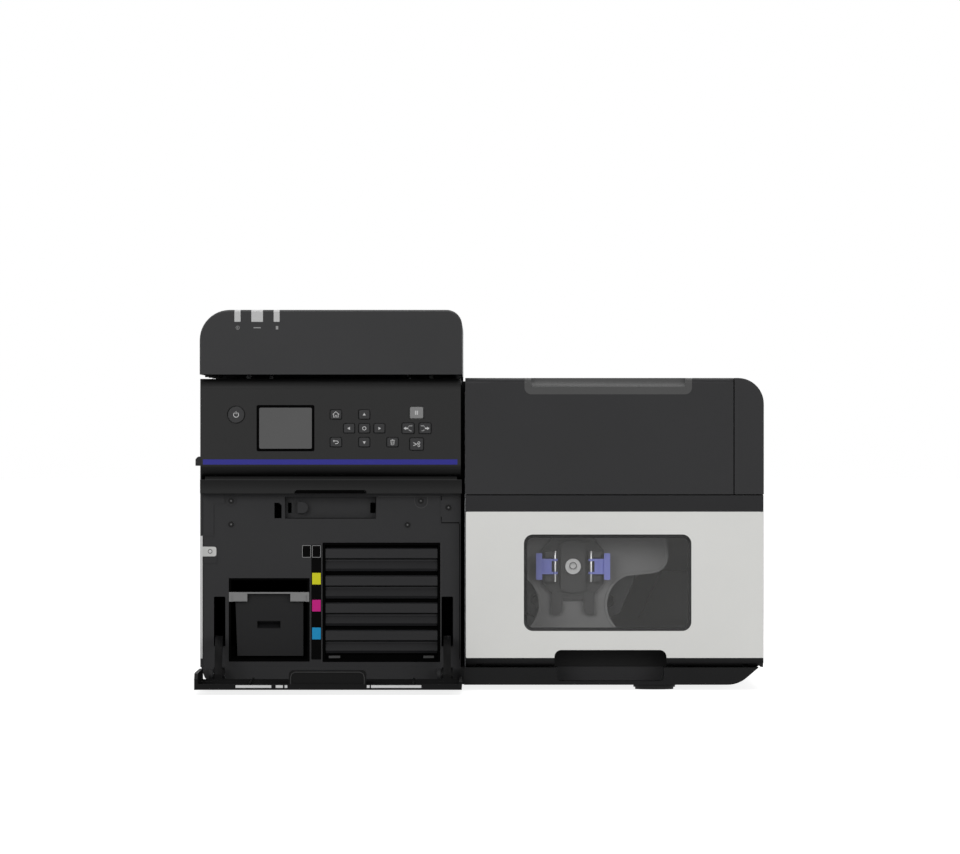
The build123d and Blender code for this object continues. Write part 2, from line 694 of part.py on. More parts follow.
def ink_cover():
    """Cover drawn in its folded position: plate, rim, ribs, grip hump and two curved arms."""
    y0 = ink_pivot_y - (ink_cover_height - ink_pivot_offset)
    y1 = ink_pivot_y + 9
    low = foot_height
    rim = 6.5
    left, right = x_left, x_tower
    plate = block(left, right, y0, y1, low, low + ink_cover_plate)
    plate = fillet(plate.edges().filter_by(Axis.Z).group_by(Axis.Y)[0], 6)
    lip = block(left, right, y0, y0 + 4, low, low + rim)
    lip = fillet(lip.edges().filter_by(Axis.Z).group_by(Axis.Y)[0], 3.5)
    side_top = low + ink_side_wall - 1
    side = left_to_right(polygon((y0, low), (y0, low + 12), (y0 + 10, side_top - 1), (y0 + 20, side_top),
                                 (ink_pivot_y - 14, side_top), (ink_pivot_y - 5, low + 4),
                                 (ink_pivot_y - 5, low)), left, left + 4)
    side = chamfer(side.edges().filter_by(Axis.X).group_by(Axis.Z)[-1], 0.8)
    far_side = block(right - 3, right, y0 + 2, ink_pivot_y - 12, low, low + rim + 3)
    cover = plate + lip + side + far_side
    ribs = [block(left + 3, right - 2, y, y + 2, low, low + rim + 2) for y in (y0 + 45, y0 + 90, y0 + 135)]
    ribs += [block(left + x, left + x + 2, y0 + 3, ink_pivot_y - 18, low, low + rim + 2)
             for x in (62, 155, 248)]
    cover = cover + ribs
    x0, x1 = left + grip_left, left + grip_left + ink_grip_width
    hump = front_to_back(panel(x0, x1, low, low + 22, 5), y0 + 2.5, y0 + 26)
    hump += block(x0, x1, y0 + 2.5, y0 + 26, low, low + 10)
    hump -= block(x0 + 4, x1 - 4, y0 + 5, y0 + 27, low + 6, low + 18)
    hump -= front_to_back(panel(x0 + 2.2, x1 - 2.2, low + rim, low + 19.8, 3.5), y0 + 1, y0 + 3.6)
    cover += hump
    for x in (ink_arm_left, ink_arm_right):
        cover += ink_arm(left + x)
    for x in ink_lug_places():
        cover -= block(x - 1, x + lug_thickness + fit_gap, ink_pivot_y - 9, y1 + 1,
                       low + ink_cover_plate - 1.4, ink_pivot_z + 43)
    cover -= rod_x(ink_pivot_y, ink_pivot_z, ink_pin_radius + running_gap, left - 1, right + 1)
    return cover


def ink_arm(x):
    """Arm that holds the cover on its pin, with a hooked guide that enters its slot when it closes."""
    x0, x1 = x - ink_arm_width / 2, x + ink_arm_width / 2
    eye = rod_x(ink_pivot_y, ink_pivot_z, ink_pivot_offset - 2, x0, x1)
    foot = block(x0, x1, ink_pivot_y - 52, ink_pivot_y, foot_height, foot_height + 6)
    outer = Pos(ink_pivot_y, ink_pivot_z) * Circle(arm_radius)
    inner = Pos(ink_pivot_y, ink_pivot_z) * Circle(arm_radius - 9)
    reach = arm_radius + 2
    sector = polygon((ink_pivot_y, ink_pivot_z), (ink_pivot_y - reach, ink_pivot_z - 4),
                     (ink_pivot_y - reach, ink_pivot_z + reach), (ink_pivot_y - 4, ink_pivot_z + reach))
    hook = left_to_right((outer - inner) & sector, x0 + 2, x1 - 2)
    foot += block(x0 + 2, x1 - 2, ink_pivot_y - arm_radius, ink_pivot_y - arm_radius + 9,
                  foot_height + 3, ink_pivot_z + 2)
    return eye + foot + hook


def screws():
    """Cross-head screws in the ink bay front. The fourth one holds the raised field."""
    heads = []
    for i, (x, z) in enumerate(screw_places):
        y = bay_face - 0.4 if i == 3 else bay_face
        head = rod_y(x_left + x, z, screw_head_radius, y - 1.6, y)
        head += rod_y(x_left + x, z, screw_radius, y, bay_face + 6)
        head -= block(x_left + x - 2.2, x_left + x + 2.2, y - 2, y - 0.7, z - 0.4, z + 0.4)
        head -= block(x_left + x - 0.4, x_left + x + 0.4, y - 2, y - 0.7, z - 2.2, z + 2.2)
        heads.append(head)
    return heads


# Roll section

def top_cover_outer(inset):
    """Side view of the L-shaped cover: top plate, rounded front edge and front wall."""
    y0 = y_front + inset
    z1 = roll_height - inset
    radius = 6 - inset
    outline = panel(y0, hinge_y + 7, z1 - 200, z1)
    corner = panel(y0, y0 + radius, z1 - radius, z1) - Pos(y0 + radius, z1 - radius) * Circle(radius)
    return outline - corner


def roll_top_cover_shell():
    outer = top_cover_outer(0) & panel(y_front - 1, hinge_y + 8, top_cover_bottom, roll_height + 1)
    inner = top_cover_outer(wall) & panel(y_front - 1, hinge_y + 9, top_cover_bottom - 1, roll_height + 1)
    inner += panel(hinge_y, hinge_y + 8, top_cover_bottom, roll_height - wall)
    x0, x1 = x_roll + seam / 2, side_strip_x - seam
    shell = left_to_right(outer - inner, x0, x1)
    side = (outer & panel(y_front, hinge_y - 16, roll_height - 14, roll_height + 1))
    side += outer & panel(y_front, y_front + 14, top_cover_bottom, roll_height - 10)
    shell += left_to_right(side, x0, x0 + 2)
    shell += left_to_right(side, x1 - 2, x1)
    return shell


def grip_region():
    """What the finger scoop takes out of the front edge of the roll cover."""
    outline = panel(grip_x - grip_width / 2, grip_x + grip_width / 2,
                    roll_height - grip_height, roll_height + 12, 8)
    return front_to_back(outline, y_front - 1, y_front + 22)


def roll_top_cover():
    shell = roll_top_cover_shell() - grip_region()
    shell = shell + knuckles(x_roll, roll_hinge_places, roll_hinge_z, roll_height)
    shell = shell - knuckle_bores(x_roll, roll_hinge_places, roll_hinge_z)
    ribs = [block(x_roll + 20, side_strip_x - 20, y, y + 2, roll_height - wall - 6, roll_height - wall + 0.5)
            for y in (y_front + 150, y_front + 300, y_front + 450)]
    return shell + ribs


def top_cover_grip():
    """Finger scoop let into the front edge of the cover."""
    insert = grip_region() & roll_top_cover_shell()
    half = grip_width / 2
    cup = block(grip_x - half + 3, grip_x + half - 3, y_front + wall, y_front + 20,
                roll_height - grip_height + 1, roll_height - wall + 0.5)
    scoop = left_to_right(Pos(y_front - 1, roll_height + 3) * Circle(13.5),
                          grip_x - half + 8, grip_x + half - 8)
    return insert + cup - scoop


def front_cover_outline(inset):
    """Front view of the folding cover, drawn in at its lower right corner as the base is."""
    x0, x1 = x_roll + seam / 2 + inset, x_right - 0.4 - inset
    low, top = front_cover_bottom + inset, front_cover_top - inset
    return polygon((x0, low), (x1 - 7, low), (x1, low + 3.7), (x1, top), (x0, top))


def window_outline(grow):
    x = x_roll + window_x
    return panel(x - window_width / 2 - grow, x + window_width / 2 + grow,
                 window_bottom - grow, window_bottom + window_height + grow, window_radius + grow)


def hand_pocket_outline(grow):
    return panel(pocket_x - pocket_width / 2 - grow, pocket_x + pocket_width / 2 + grow,
                 foot_height, pocket_top + grow, 8)


def front_ear_spans():
    """Ears of the mid and side structure that carry the folding cover, as pairs of X values."""
    return [(x_roll + 14, x_roll + 14 + lug_thickness), (x_right - 24, x_right - 24 + lug_thickness)]


def roll_front_cover():
    """Frame of the folding cover: top strip, foot strip, backing and side walls."""
    outer = front_to_back(front_cover_outline(0), y_front, y_front + front_cover_depth)
    hollow = front_to_back(front_cover_outline(wall), y_front + 2 * wall, y_front + front_cover_depth + 1)
    frame = outer - hollow
    frame -= front_to_back(face_plate_outline(), y_front - 1, y_front + wall)
    frame -= front_to_back(window_outline(-4), y_front - 1, y_front + front_cover_depth + 1)
    frame -= front_to_back(hand_pocket_outline(0), y_front - 1, y_front + front_cover_depth + 1)
    frame += front_to_back((hand_pocket_outline(wall) - hand_pocket_outline(0)) & front_cover_outline(0),
                           y_front + wall, y_front + front_cover_depth)
    back_corner = left_to_right(
        panel(y_front, front_pivot_y, front_cover_bottom, front_pivot_z)
        - Pos(front_pivot_y, front_pivot_z) * Circle(front_pivot_offset), x_roll - 5, x_right + 5)
    frame -= back_corner
    for x0, x1 in front_ear_spans():
        frame += front_eye(x1 + fit_gap)
        frame -= block(x0 - fit_gap, x1 + fit_gap, y_front + 2.4, y_front + front_cover_depth + 1,
                       front_cover_bottom - 1, front_pivot_z + 12)
        frame -= rod_x(front_pivot_y, front_pivot_z, ink_pin_radius + running_gap,
                       x0 - 1, x1 + front_ear_overlap + 1)
    return frame


def front_eye(x):
    eye = rod_x(front_pivot_y, front_pivot_z, 6, x, x + front_ear_overlap - fit_gap)
    return eye + block(x, x + front_ear_overlap - fit_gap, y_front + wall, front_pivot_y,
                       front_pivot_z - 6, front_pivot_z + 6)


def front_ears():
    """Ears that rise from the base behind the folding cover and carry its pins."""
    ears = []
    for x0, x1 in front_ear_spans():
        ear = rod_x(front_pivot_y, front_pivot_z, 5.5, x0, x1)
        ear += left_to_right(polygon(
            (front_pivot_y - 1, front_pivot_z + 5.4), (front_pivot_y, front_pivot_z - 5.4),
            (front_pivot_y + 10, front_pivot_z - 5.4), (front_pivot_y + 11, base_top - 1),
            (y_front + 46, base_top - 1), (y_front + 46, base_top + 5)), x0, x1)
        ears.append(ear - rod_x(front_pivot_y, front_pivot_z, ink_pin_radius, x0 - 1, x1 + 1))
    return ears


def face_plate_outline():
    x0, x1 = x_roll + seam / 2 + 0.8, x_right - 2.8
    return panel(x0, x1, front_cover_bottom + front_foot_height, front_cover_top - front_strip_height, 1.2)


def front_face_plate():
    """Light face plate of the folding cover, with the window opening and the top of the hand pocket."""
    plate = front_to_back(face_plate_outline(), y_front, y_front + wall)
    plate -= front_to_back(window_outline(0), y_front - 1, y_front + wall + 1)
    plate -= front_to_back(hand_pocket_outline(0), y_front - 1, y_front + wall + 1)
    return plate


def viewing_window():
    return front_to_back(window_outline(0), y_front + 0.8, y_front + wall)


def roll_bay_liner():
    """Inner lining of the roll bay: floor with a front sill, rear wall and right wall with a moulded step."""
    x0, x1 = x_roll + 2.4, x_right - wall - 4
    front, low = y_front + 50, base_top
    lining = block(x0, x1, front, bay_rear, low, low + wall)
    lining += block(x0, x1, front, front + wall, low, low + front_sill)
    lining += block(x0, x1, bay_rear - wall, bay_rear, low, roll_height - 16)
    lining += block(x1 - wall, x1, front + 10, bay_rear, low, roll_height - side_radius - 4)
    x_step = x1 - roll_width * 0.38
    step = front_to_back(polygon((x_step, low + 50), (x_step + 26.7, low + 107.4), (x1 - 1, low + 107.4),
                                 (x1 - 1, low + 50)), bay_rear - 70, bay_rear - 1)
    lining += step
    lining -= rod_y(hub_x, spindle_z, 16, bay_rear - 5, bay_rear + 1)
    gussets = [block(x, x + 3, bay_rear - 26, bay_rear - 1, low + 1, low + 26)
               for x in (x_roll + 26, x_roll + 60, x1 - 78, x1 - 44)]
    return lining + gussets


# Spindle

def carrier_outline(low):
    """Front view of the plate behind the hub: a waisted foot that spreads into a wide field above."""
    x, z = hub_x, spindle_z
    left, top = x_roll + 8.3, z + 70
    edges = [
        Line((x - 50, low), (x + 50, low)), Line((x + 50, low), (x + 50, z - 70)),
        ThreePointArc((x + 50, z - 70), (x + 40, z - 42), (x + 54, z - 16)),
        Line((x + 54, z - 16), (x + 62, z - 11.5)), Line((x + 62, z - 11.5), (x + 94, z - 8.2)),
        ThreePointArc((x + 94, z - 8.2), (x + 107, z - 1), (x + 111.5, z + 14)),
        Line((x + 111.5, z + 14), (x + 104, top)), Line((x + 104, top), (left, top)),
        Line((left, top), (left, z - 15)), Line((left, z - 15), (x - 54, z - 15)),
        ThreePointArc((x - 54, z - 15), (x - 40, z - 42), (x - 50, z - 70)),
        Line((x - 50, z - 70), (x - 50, low)),
    ]
    return make_face(edges)


def spindle_support():
    """Plate with a raised rim that holds the spindle in front, and a bearing plate at the rear."""
    low = base_top + wall
    outline = carrier_outline(low)
    stand = front_to_back(outline, hub_front + 12, hub_front + 17)
    stand += front_to_back(outline - offset(outline, -3), hub_front + 10.5, hub_front + 12)
    stand -= rod_y(hub_x, spindle_z, shaft_radius + running_gap, hub_front - 1, hub_front + 18)
    rear = front_to_back(polygon((hub_x - 46, low), (hub_x + 46, low), (hub_x + 18, spindle_z + 10),
                                 (hub_x - 18, spindle_z + 10))
                         + Pos(hub_x, spindle_z) * Circle(20), bay_rear - 13, bay_rear - 3)
    rear -= rod_y(hub_x, spindle_z, shaft_radius + running_gap, bay_rear - 14, bay_rear - 2)
    foot = block(hub_x - 50, hub_x + 50, hub_front + 12, hub_front + 30, low, low + 4)
    rear_foot = block(hub_x - 46, hub_x + 46, bay_rear - 30, bay_rear - 3, low, low + 4)
    bridge = block(hub_x - 30, hub_x + 30, hub_front + 28, bay_rear - 28, low, low + 4)
    return stand + rear + foot + rear_foot + bridge


def hub_plate():
    """Eight-sided hub mounting with a bearing cap, two legs and the blocks that hold the lever rods."""
    x, z, front = hub_x, spindle_z, hub_front
    right_half = [(24.5, 46), (24.5, 32), (36, 19), (36, -20), (25, -32), (12, -39)]
    left_half = [(-a, b) for a, b in reversed(right_half)]
    outline = polygon(*[(x + a, z + b) for a, b in right_half + left_half])
    plate = front_to_back(outline, front + 6, front + 12)
    band = panel(x - 14.3, x + 14.3, z - 40, z + 40)
    plate += front_to_back((Pos(x, z) * Circle(30.5)) & band, front, front + 7)
    ring = Pos(x, z) * (Circle(34.5) - Circle(33)) & panel(x - 18, x + 18, z - 40, z + 40)
    plate += front_to_back(ring, front + 5, front + 6.5)
    for side in (-1, 1):
        inner, outer = x + side * 12.4, x + side * 24.9
        leg = polygon((inner, z - 30), (outer, z - 30), (outer, z - 56.3), (inner + side * 4, z - 56.3),
                      (inner, z - 52))
        plate += front_to_back(leg, front + 4, front + 12)
        for mid in (z + 14, z - 14):
            x0, x1 = sorted((x + side * (lever_pin_x - 2.6), x + side * (lever_pin_x + 11.6)))
            plate += block(x0, x1, lever_pin_y - 0.6, front + 7, mid - 3.5, mid + 3.5)
        plate -= rod_z(x + side * lever_pin_x, lever_pin_y, lever_pin_radius, z - 18, z + 18)
    return plate - rod_y(x, z, shaft_radius + running_gap, front - 1, front + 13)


def spindle():
    """Shaft with its end cap, a collar and three core-gripping ribs on the tube."""
    x, front = hub_x, hub_front
    shaft = rod_y(x, spindle_z, shaft_radius, front - 5, bay_rear + 6)
    shaft -= rod_y(x, spindle_z, 4.6, front - 6, front - 2)
    shaft += rod_y(x, spindle_z, 3.4, front - 5, front - 1)
    shaft += rod_y(x, spindle_z, 14, front + 18, front + 21)
    tube = rod_y(x, spindle_z, core_radius - 2, front + 20, bay_rear - 18)
    hollow = rod_y(x, spindle_z, core_radius - 5, front + 23, bay_rear - 21)
    tube -= hollow - rod_y(x, spindle_z, shaft_radius, front + 23, bay_rear - 21)
    rib = block(x - 3, x + 3, front + 22, bay_rear - 20,
                spindle_z + core_radius - 3, spindle_z + core_radius - 0.15)
    axis = Axis((x, 0, spindle_z), (0, 1, 0))
    return shaft + tube + [rib.rotate(axis, 120 * i) for i in range(3)]


def roll_flange():
    """Eight-sided guide flange that slides along the shaft to the edge of the roll."""
    y0 = hub_front + 26
    plate = front_to_back(Pos(hub_x, spindle_z) * RegularPolygon(flange_radius, 8), y0, y0 + 6)
    plate += rod_y(hub_x, spindle_z, core_radius + 6, y0, y0 + 14)
    for i in range(8):
        angle = radians(45 * i)
        plate -= rod_y(hub_x + 58 * cos(angle), spindle_z + 58 * sin(angle), 7, y0 - 1, y0 + 7)
    return plate - rod_y(hub_x, spindle_z, core_radius + running_gap, y0 - 1, y0 + 15)


def lock_lever(side):
    """Lever with a tall outer grip, a web and two eyes that turn on the upright rod."""
    pin, y = hub_x + side * lever_pin_x, lever_pin_y
    near, far = sorted((pin + side * 15.1, pin + side * 22.2))
    grip = block(near, far, y - 4, y + 1, spindle_z - 15.5, spindle_z + 15.5)
    lever = fillet(grip.edges().filter_by(Axis.Y), 1)
    for z in (spindle_z + 7.6, spindle_z - 7.6):
        arm = sorted((pin, pin + side * 16))
        lever += block(arm[0], arm[1], y - 2, y + 1, z - 1.3, z + 1.3)
        lever += rod_z(pin, y, 3.2, z - 1.3, z + 1.3)
    near, far = sorted((pin + side * 4, pin + side * 16))
    lever += block(near, far, y - 1, y + 0.6, spindle_z - 7.6, spindle_z + 7.6)
    near, far = sorted((pin + side * 9, pin + side * 14))
    lever += block(near, far, y - 2, y, spindle_z - 7, spindle_z + 7)
    return lever - rod_z(pin, y, lever_pin_radius + running_gap, spindle_z - 30, spindle_z + 30)


# Print mechanism

def print_frame():
    """Deck under the printer cover, with the two cheeks that carry the rollers and the print head."""
    x0, x1 = x_left + wall + 0.4, x_tower - 2
    deck = block(x0, x1, bay_face, y_rear - wall, deck_top - wall, deck_top)
    middle = x_left + tower_width / 2
    opening = Pos(middle, (web_front + web_rear) / 2) * RectangleRounded(
        tower_width - 42.5, web_width + 2 * cheek_gap, 10)
    deck -= upward(opening, deck_top - wall - 1, deck_top + 1)
    cheeks = []
    for y, y_boss in ((web_front - cheek_gap - cheek, web_front - cheek_gap),
                      (web_rear + cheek_gap, web_rear + cheek_gap - 1.4)):
        outline = panel(x_left + 14, x_tower - 14.5, cheek_bottom, deck_top - wall / 2, 8)
        outline -= panel(x_left + 30, x_left + 60, web_height + 24, web_height + 58, 6)
        plate = front_to_back(outline, y, y + cheek)
        for z in (feed_z, pinch_z):
            plate += rod_y(x_left + roller_x, z, bush_radius + 2, y_boss, y_boss + 1.4)
            plate -= rod_y(x_left + roller_x, z, roller_shaft_radius + running_gap, y - 5, y + cheek + 5)
        cheeks.append(plate)
    beams = [block(x_left + x, x_left + x + 16, web_front - cheek_gap - 0.5, web_rear + cheek_gap + 0.5,
                   cheek_bottom + 1, cheek_bottom + 4) for x in (70, 180)]
    return deck + cheeks + beams


def gear(x, z, y0, y1, turn):
    """Spur gear with straight-sided teeth that leave backlash."""
    pitch = gear_teeth * gear_module / 2
    root, tip = pitch - 1.2 * gear_module, pitch + 0.85 * gear_module
    body = Circle(root + 0.05)
    step = 360 / gear_teeth
    tooth = polygon((root - 0.4, -0.82), (root, -0.80), (pitch, -0.66), (tip, -0.34),
                    (tip, 0.34), (pitch, 0.66), (root, 0.80), (root - 0.4, 0.82))
    outline = body
    for i in range(gear_teeth):
        outline += Rot(0, 0, turn + step * i) * tooth
    return front_to_back(Pos(x, z) * outline, y0, y1)


def roller(z, y_shaft_rear, turn):
    x = x_left + roller_x
    front = web_front - cheek_gap - cheek
    shaft = rod_y(x, z, roller_shaft_radius, front - 12, y_shaft_rear)
    shaft += rod_y(x, z, roller_radius - 0.15, web_front + 2, web_rear - 2)
    shaft += gear(x, z, front - 11, front - 11 + gear_width, turn)
    return shaft


def feed_motor():
    """Square step motor on the rear cheek, in line with the feed roller."""
    x = x_left + roller_x
    y0 = web_rear + cheek_gap + cheek
    stator = front_to_back(Pos(x, feed_z) * RectangleRounded(42, 42, 4), y0 + 9, y0 + 48)
    stator -= front_to_back(Pos(x, feed_z) * (RectangleRounded(44, 44, 4) - RectangleRounded(39, 39, 7)),
                            y0 + 17, y0 + 40)
    for dx in (-15.5, 15.5):
        for dz in (-15.5, 15.5):
            stator += rod_y(x + dx, feed_z + dz, 2.6, y0, y0 + 10)
    stator -= rod_y(x, feed_z, 7, y0 + 8, y0 + 12)
    return stator


def platen():
    """Ribbed support under the print head."""
    bed = block(x_left + 118, x_left + 228, web_front - cheek_gap, web_rear + cheek_gap,
                web_height - 9, web_height - 3)
    rib_step = (web_width - 16) / 12
    rib_places = [web_front + 6.5 + rib_step * i for i in range(13)]
    ribs = [block(x_left + 122, x_left + 224, y, y + 3, web_height - 3.5, web_height - 0.5)
            for y in rib_places]
    legs = [block(x_left + x, x_left + x + 6, web_front - cheek_gap, web_rear + cheek_gap,
                  cheek_bottom + 4, web_height - 8) for x in (136, 196)]
    return bed + ribs + legs


def print_head():
    """Line head: nozzle bar, body and ink manifold, hung between the cheeks."""
    y0, y1 = web_front - cheek_gap, web_rear + cheek_gap
    low = web_height + print_gap
    head = block(x_left + 150, x_left + 196, web_front + 6, web_rear - 6, low, low + 10)
    outline = polygon((x_left + 132, low + 10), (x_left + 214, low + 10), (x_left + 214, low + 40),
                      (x_left + 200, low + 56), (x_left + 146, low + 56), (x_left + 132, low + 40))
    head += front_to_back(outline, web_front + 2, web_rear - 2)
    head += block(x_left + 140, x_left + 206, y0, y1, low + 14, low + 30)
    for i in range(4):
        x = x_left + 152 + 14 * i
        head += rod_z(x, web_rear - 30, 4.2, low + 55, low + 66)
        head -= rod_z(x, web_rear - 30, 2.2, low + 58, low + 67)
    head -= block(x_left + 158, x_left + 188, web_front + 20, web_rear - 60, low + 53, low + 57)
    return head


def cutter_rail():
    """Fixed cutting edge with guide blocks for the moving blade."""
    y0, y1 = web_front - cheek_gap, web_rear + cheek_gap
    x0, x1 = x_left + cutter_x, x_left + cutter_x + cutter_thickness
    low, top = web_height - 32, web_height + 44
    rail = block(x0, x1, y0, y1, low, web_height - 1)
    for y in (y0, y1 - 6):
        rail += block(x0, x1 + 8, y, y + 6, low, top)
    rail -= block(x1 - 0.01, x1 + 3.5, y0 + 2.6, y1 - 2.6, low - 1, top + 1)
    return rail + block(x0, x1, y0, y1, top - 8, top)


def cutter_blade():
    """Moving blade, ground to a slant, that drops past the fixed edge."""
    y0, y1 = web_front - cheek_gap + 3, web_rear + cheek_gap - 3
    x0, top = x_left + cutter_x + cutter_thickness + 0.4, web_height + 28
    plate = polygon((y0, web_height + 10), (y1, web_height + 5), (y1, top), (y0, top))
    blade = left_to_right(plate, x0, x0 + 2.2)
    return blade + block(x0, x0 + 2.7, y0 + 20, y1 - 20, top - 6, top)


def paper_exit_guide():
    """Lip below the label exit, with its upper outer edge drawn in."""
    y0, y1 = web_front - 14, web_rear + 14
    z1 = web_height - 1.5
    lip = polygon((x_left, z1 - 10.8), (x_left - guide_overhang, z1 - 10.8),
                  (x_left - guide_overhang, z1 - 3), (x_left - guide_overhang + 3, z1), (x_left, z1))
    tongue = block(x_left - 1, x_left + 33, y0 + 7, y1 - 7, z1 - 2.2, z1)
    return front_to_back(lip, y0, y1) + tongue


def dancer_arm():
    """Two cheeks and a roll that keep the web tight, turning on one shaft."""
    arm = []
    for y in (web_front - 6, web_rear + 2):
        arm.append(dancer_cheek(y, y + 4))
    bar = rod_y(dancer_x, dancer_z, dancer_radius, web_front - 6, bay_rear - wall - 0.4)
    roll_bar = rod_y(dancer_x - 44, dancer_z - 30, 8, web_front - 3, web_rear + 3)
    return bar + arm + roll_bar


def dancer_cheek(y0, y1):
    outline = make_hull([*(Pos(dancer_x, dancer_z) * Circle(9)).edges(),
                         *(Pos(dancer_x - 44, dancer_z - 30) * Circle(10)).edges()])
    return front_to_back(outline, y0, y1)


def dancer_bracket():
    """Bearing boss on the rear wall of the roll bay."""
    boss = rod_y(dancer_x, dancer_z, 11, bay_rear - wall - 14, bay_rear - 1)
    return boss - rod_y(dancer_x, dancer_z, dancer_radius + running_gap,
                        bay_rear - wall - 15, bay_rear - wall)


# Electrics

def main_circuit_board():
    """Board behind the rear wall with chips, a ribbon socket and the two outside sockets."""
    y = y_rear - wall - 14
    x0, x1 = x_left + 30, x_left + 250
    board = block(x0, x1, y, y + 1.6, base_top + 8, base_top + 158)
    solids = [board]
    for dx, dz, width, height, depth in ((40, 110, 34, 34, 3), (110, 100, 22, 22, 2.4), (160, 120, 16, 30, 4),
                                         (130, 40, 60, 8, 9), (30, 90 - 24, 12, 12, 10)):
        solids.append(block(x0 + dx, x0 + dx + width, y - depth, y, base_top + dz, base_top + dz + height))
    for dx, width, height in ((46, 17, 14), (78, 13, 12)):
        socket = block(x0 + dx - 10, x0 + dx - 10 + width, y + 1.6, y_rear - 0.6,
                       base_top + 62 - height / 2, base_top + 62 + height / 2)
        socket -= block(x0 + dx - 8.4, x0 + dx - 11.6 + width, y_rear - 11, y_rear + 1,
                        base_top + 62 - height / 2 + 1.6, base_top + 62 + height / 2 - 1.6)
        solids.append(socket)
    for dx in (8, 212):
        for dz in (14, 152):
            solids.append(rod_y(x0 + dx, base_top + dz, 3.5, y + 1.6, y_rear - wall))
    return solids


def power_supply():
    """Perforated steel box with a terminal step."""
    x0, y0 = x_roll + 40, y_rear - 190
    floor_top = foot_height + wall
    box = block(x0, x0 + 190, y0, y0 + 110, floor_top, floor_top + 62)
    box -= block(x0 + 160, x0 + 191, y0 + 4, y0 + 106, floor_top + 22, floor_top + 63)
    box -= [rod_z(x0 + 20 + 16 * i, y0 + 25 + 20 * j, 4, floor_top + 56, floor_top + 63)
            for i in range(8) for j in range(4)]
    terminals = [block(x0 + 166, x0 + 182, y0 + 10 + 16 * i, y0 + 22 + 16 * i, floor_top + 21, floor_top + 32)
                 for i in range(6)]
    return box + terminals


def power_inlet():
    """Three-pin inlet socket, screwed into the rear wall."""
    outline = panel(inlet_x - 13.7, inlet_x + 13.7, inlet_z - 10.2, inlet_z + 10.2, 2)
    body = front_to_back(outline, y_rear - 26, y_rear - 0.5)
    body += front_to_back(panel(inlet_x - 24, inlet_x + 24, inlet_z - 12, inlet_z + 12, 3), y_rear - wall - 3,
                          y_rear - wall)
    body -= front_to_back(panel(inlet_x - 11.5, inlet_x + 11.5, inlet_z - 8, inlet_z + 8, 2),
                          y_rear - 17, y_rear + 1)
    for dx, dz in ((-7, -2), (0, 3), (7, -2)):
        body += block(inlet_x + dx - 1, inlet_x + dx + 1, y_rear - 18, y_rear - 4,
                      inlet_z + dz - 2, inlet_z + dz + 2)
    return body


# All pieces

def as_group(shape):
    """One compound for a node, whether it holds one solid or several."""
    solids = []
    for part in shape if isinstance(shape, (list, ShapeList)) else [shape]:
        solids.extend(part.solids())
    return Compound(children=solids) if len(solids) > 1 else solids[0]


pieces["base_tray"] = base_tray() + front_ears()
pieces["rubber_feet"] = feet()
pieces["left_side_panel"] = left_side_panel()
pieces["right_side_panel"] = right_side_panel()
pieces["rear_panel"] = rear_panel()
pieces["mid_wall"] = mid_wall()
pieces["print_frame"] = print_frame() + hinge_posts(x_left, printer_hinge_places, cover_hinge_z, deck_top - 1)
pieces["hinge_pins"] = hinge_pins()
pieces["ink_bay_front"] = ink_bay_front()
pieces["cartridge_bay"] = cartridge_bay()
pieces["maintenance_bay"] = maintenance_bay()
pieces["control_panel"] = control_panel()
pieces["light_strip"] = light_strip_solid()
pieces["display_glass"] = display_glass()
pieces["housing_screws"] = screws()
pieces["roll_bay_liner"] = roll_bay_liner() + dancer_bracket()
pieces["spindle_support"] = spindle_support()
pieces["hub_plate"] = hub_plate()
pieces["paper_exit_guide"] = paper_exit_guide()
pieces["main_circuit_board"] = main_circuit_board()
pieces["power_supply"] = power_supply()
pieces["power_inlet"] = power_inlet()
pieces["print_head"] = print_head()
pieces["platen"] = platen()
pieces["feed_motor"] = feed_motor()
pieces["cutter_rail"] = cutter_rail()
pieces["printer_cover"] = printer_cover()
pieces["status_lights"] = status_lights()
pieces["roll_top_cover"] = roll_top_cover()
pieces["top_cover_grip"] = top_cover_grip()
pieces["roll_front_cover"] = roll_front_cover()
pieces["front_face_plate"] = front_face_plate()
pieces["viewing_window"] = viewing_window()
pieces["ink_cover"] = ink_cover()
for place, colour in enumerate(("black", "yellow", "magenta", "cyan")):
    pieces["cartridge_" + colour] = cartridge(place)
pieces["maintenance_box"] = maintenance_box()
pieces["spindle"] = spindle()
pieces["roll_flange"] = roll_flange()
pieces["left_lock_lever"] = lock_lever(-1)
pieces["right_lock_lever"] = lock_lever(1)
pieces["feed_roller"] = roller(feed_z, web_rear + cheek_gap + cheek + 11.5, 0)
pieces["pinch_roller"] = roller(pinch_z, web_rear + cheek_gap + 6, 180 / gear_teeth)
pieces["cutter_blade"] = cutter_blade()
pieces["dancer_arm"] = dancer_arm()
pieces["button_power"] = power_button()
for name, (x, drop, width, height) in button_sizes.items():
    pieces["button_" + name] = button(x_left + x, tower_height - drop, width, height)

os.makedirs("parts", exist_ok=True)
for name, shape in pieces.items():
    export_step(as_group(shape), os.path.join("parts", name + ".step"))
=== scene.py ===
import math

import bmesh
import bpy
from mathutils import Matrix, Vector


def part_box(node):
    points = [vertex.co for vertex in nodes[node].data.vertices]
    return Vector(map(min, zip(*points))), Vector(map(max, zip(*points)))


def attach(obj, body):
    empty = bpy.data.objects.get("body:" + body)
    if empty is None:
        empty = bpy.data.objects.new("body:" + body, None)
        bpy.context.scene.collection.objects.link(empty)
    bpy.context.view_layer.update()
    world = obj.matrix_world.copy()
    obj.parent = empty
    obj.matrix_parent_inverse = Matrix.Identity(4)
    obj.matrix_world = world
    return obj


# Looks of an inkjet label printer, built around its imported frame. Metres throughout.

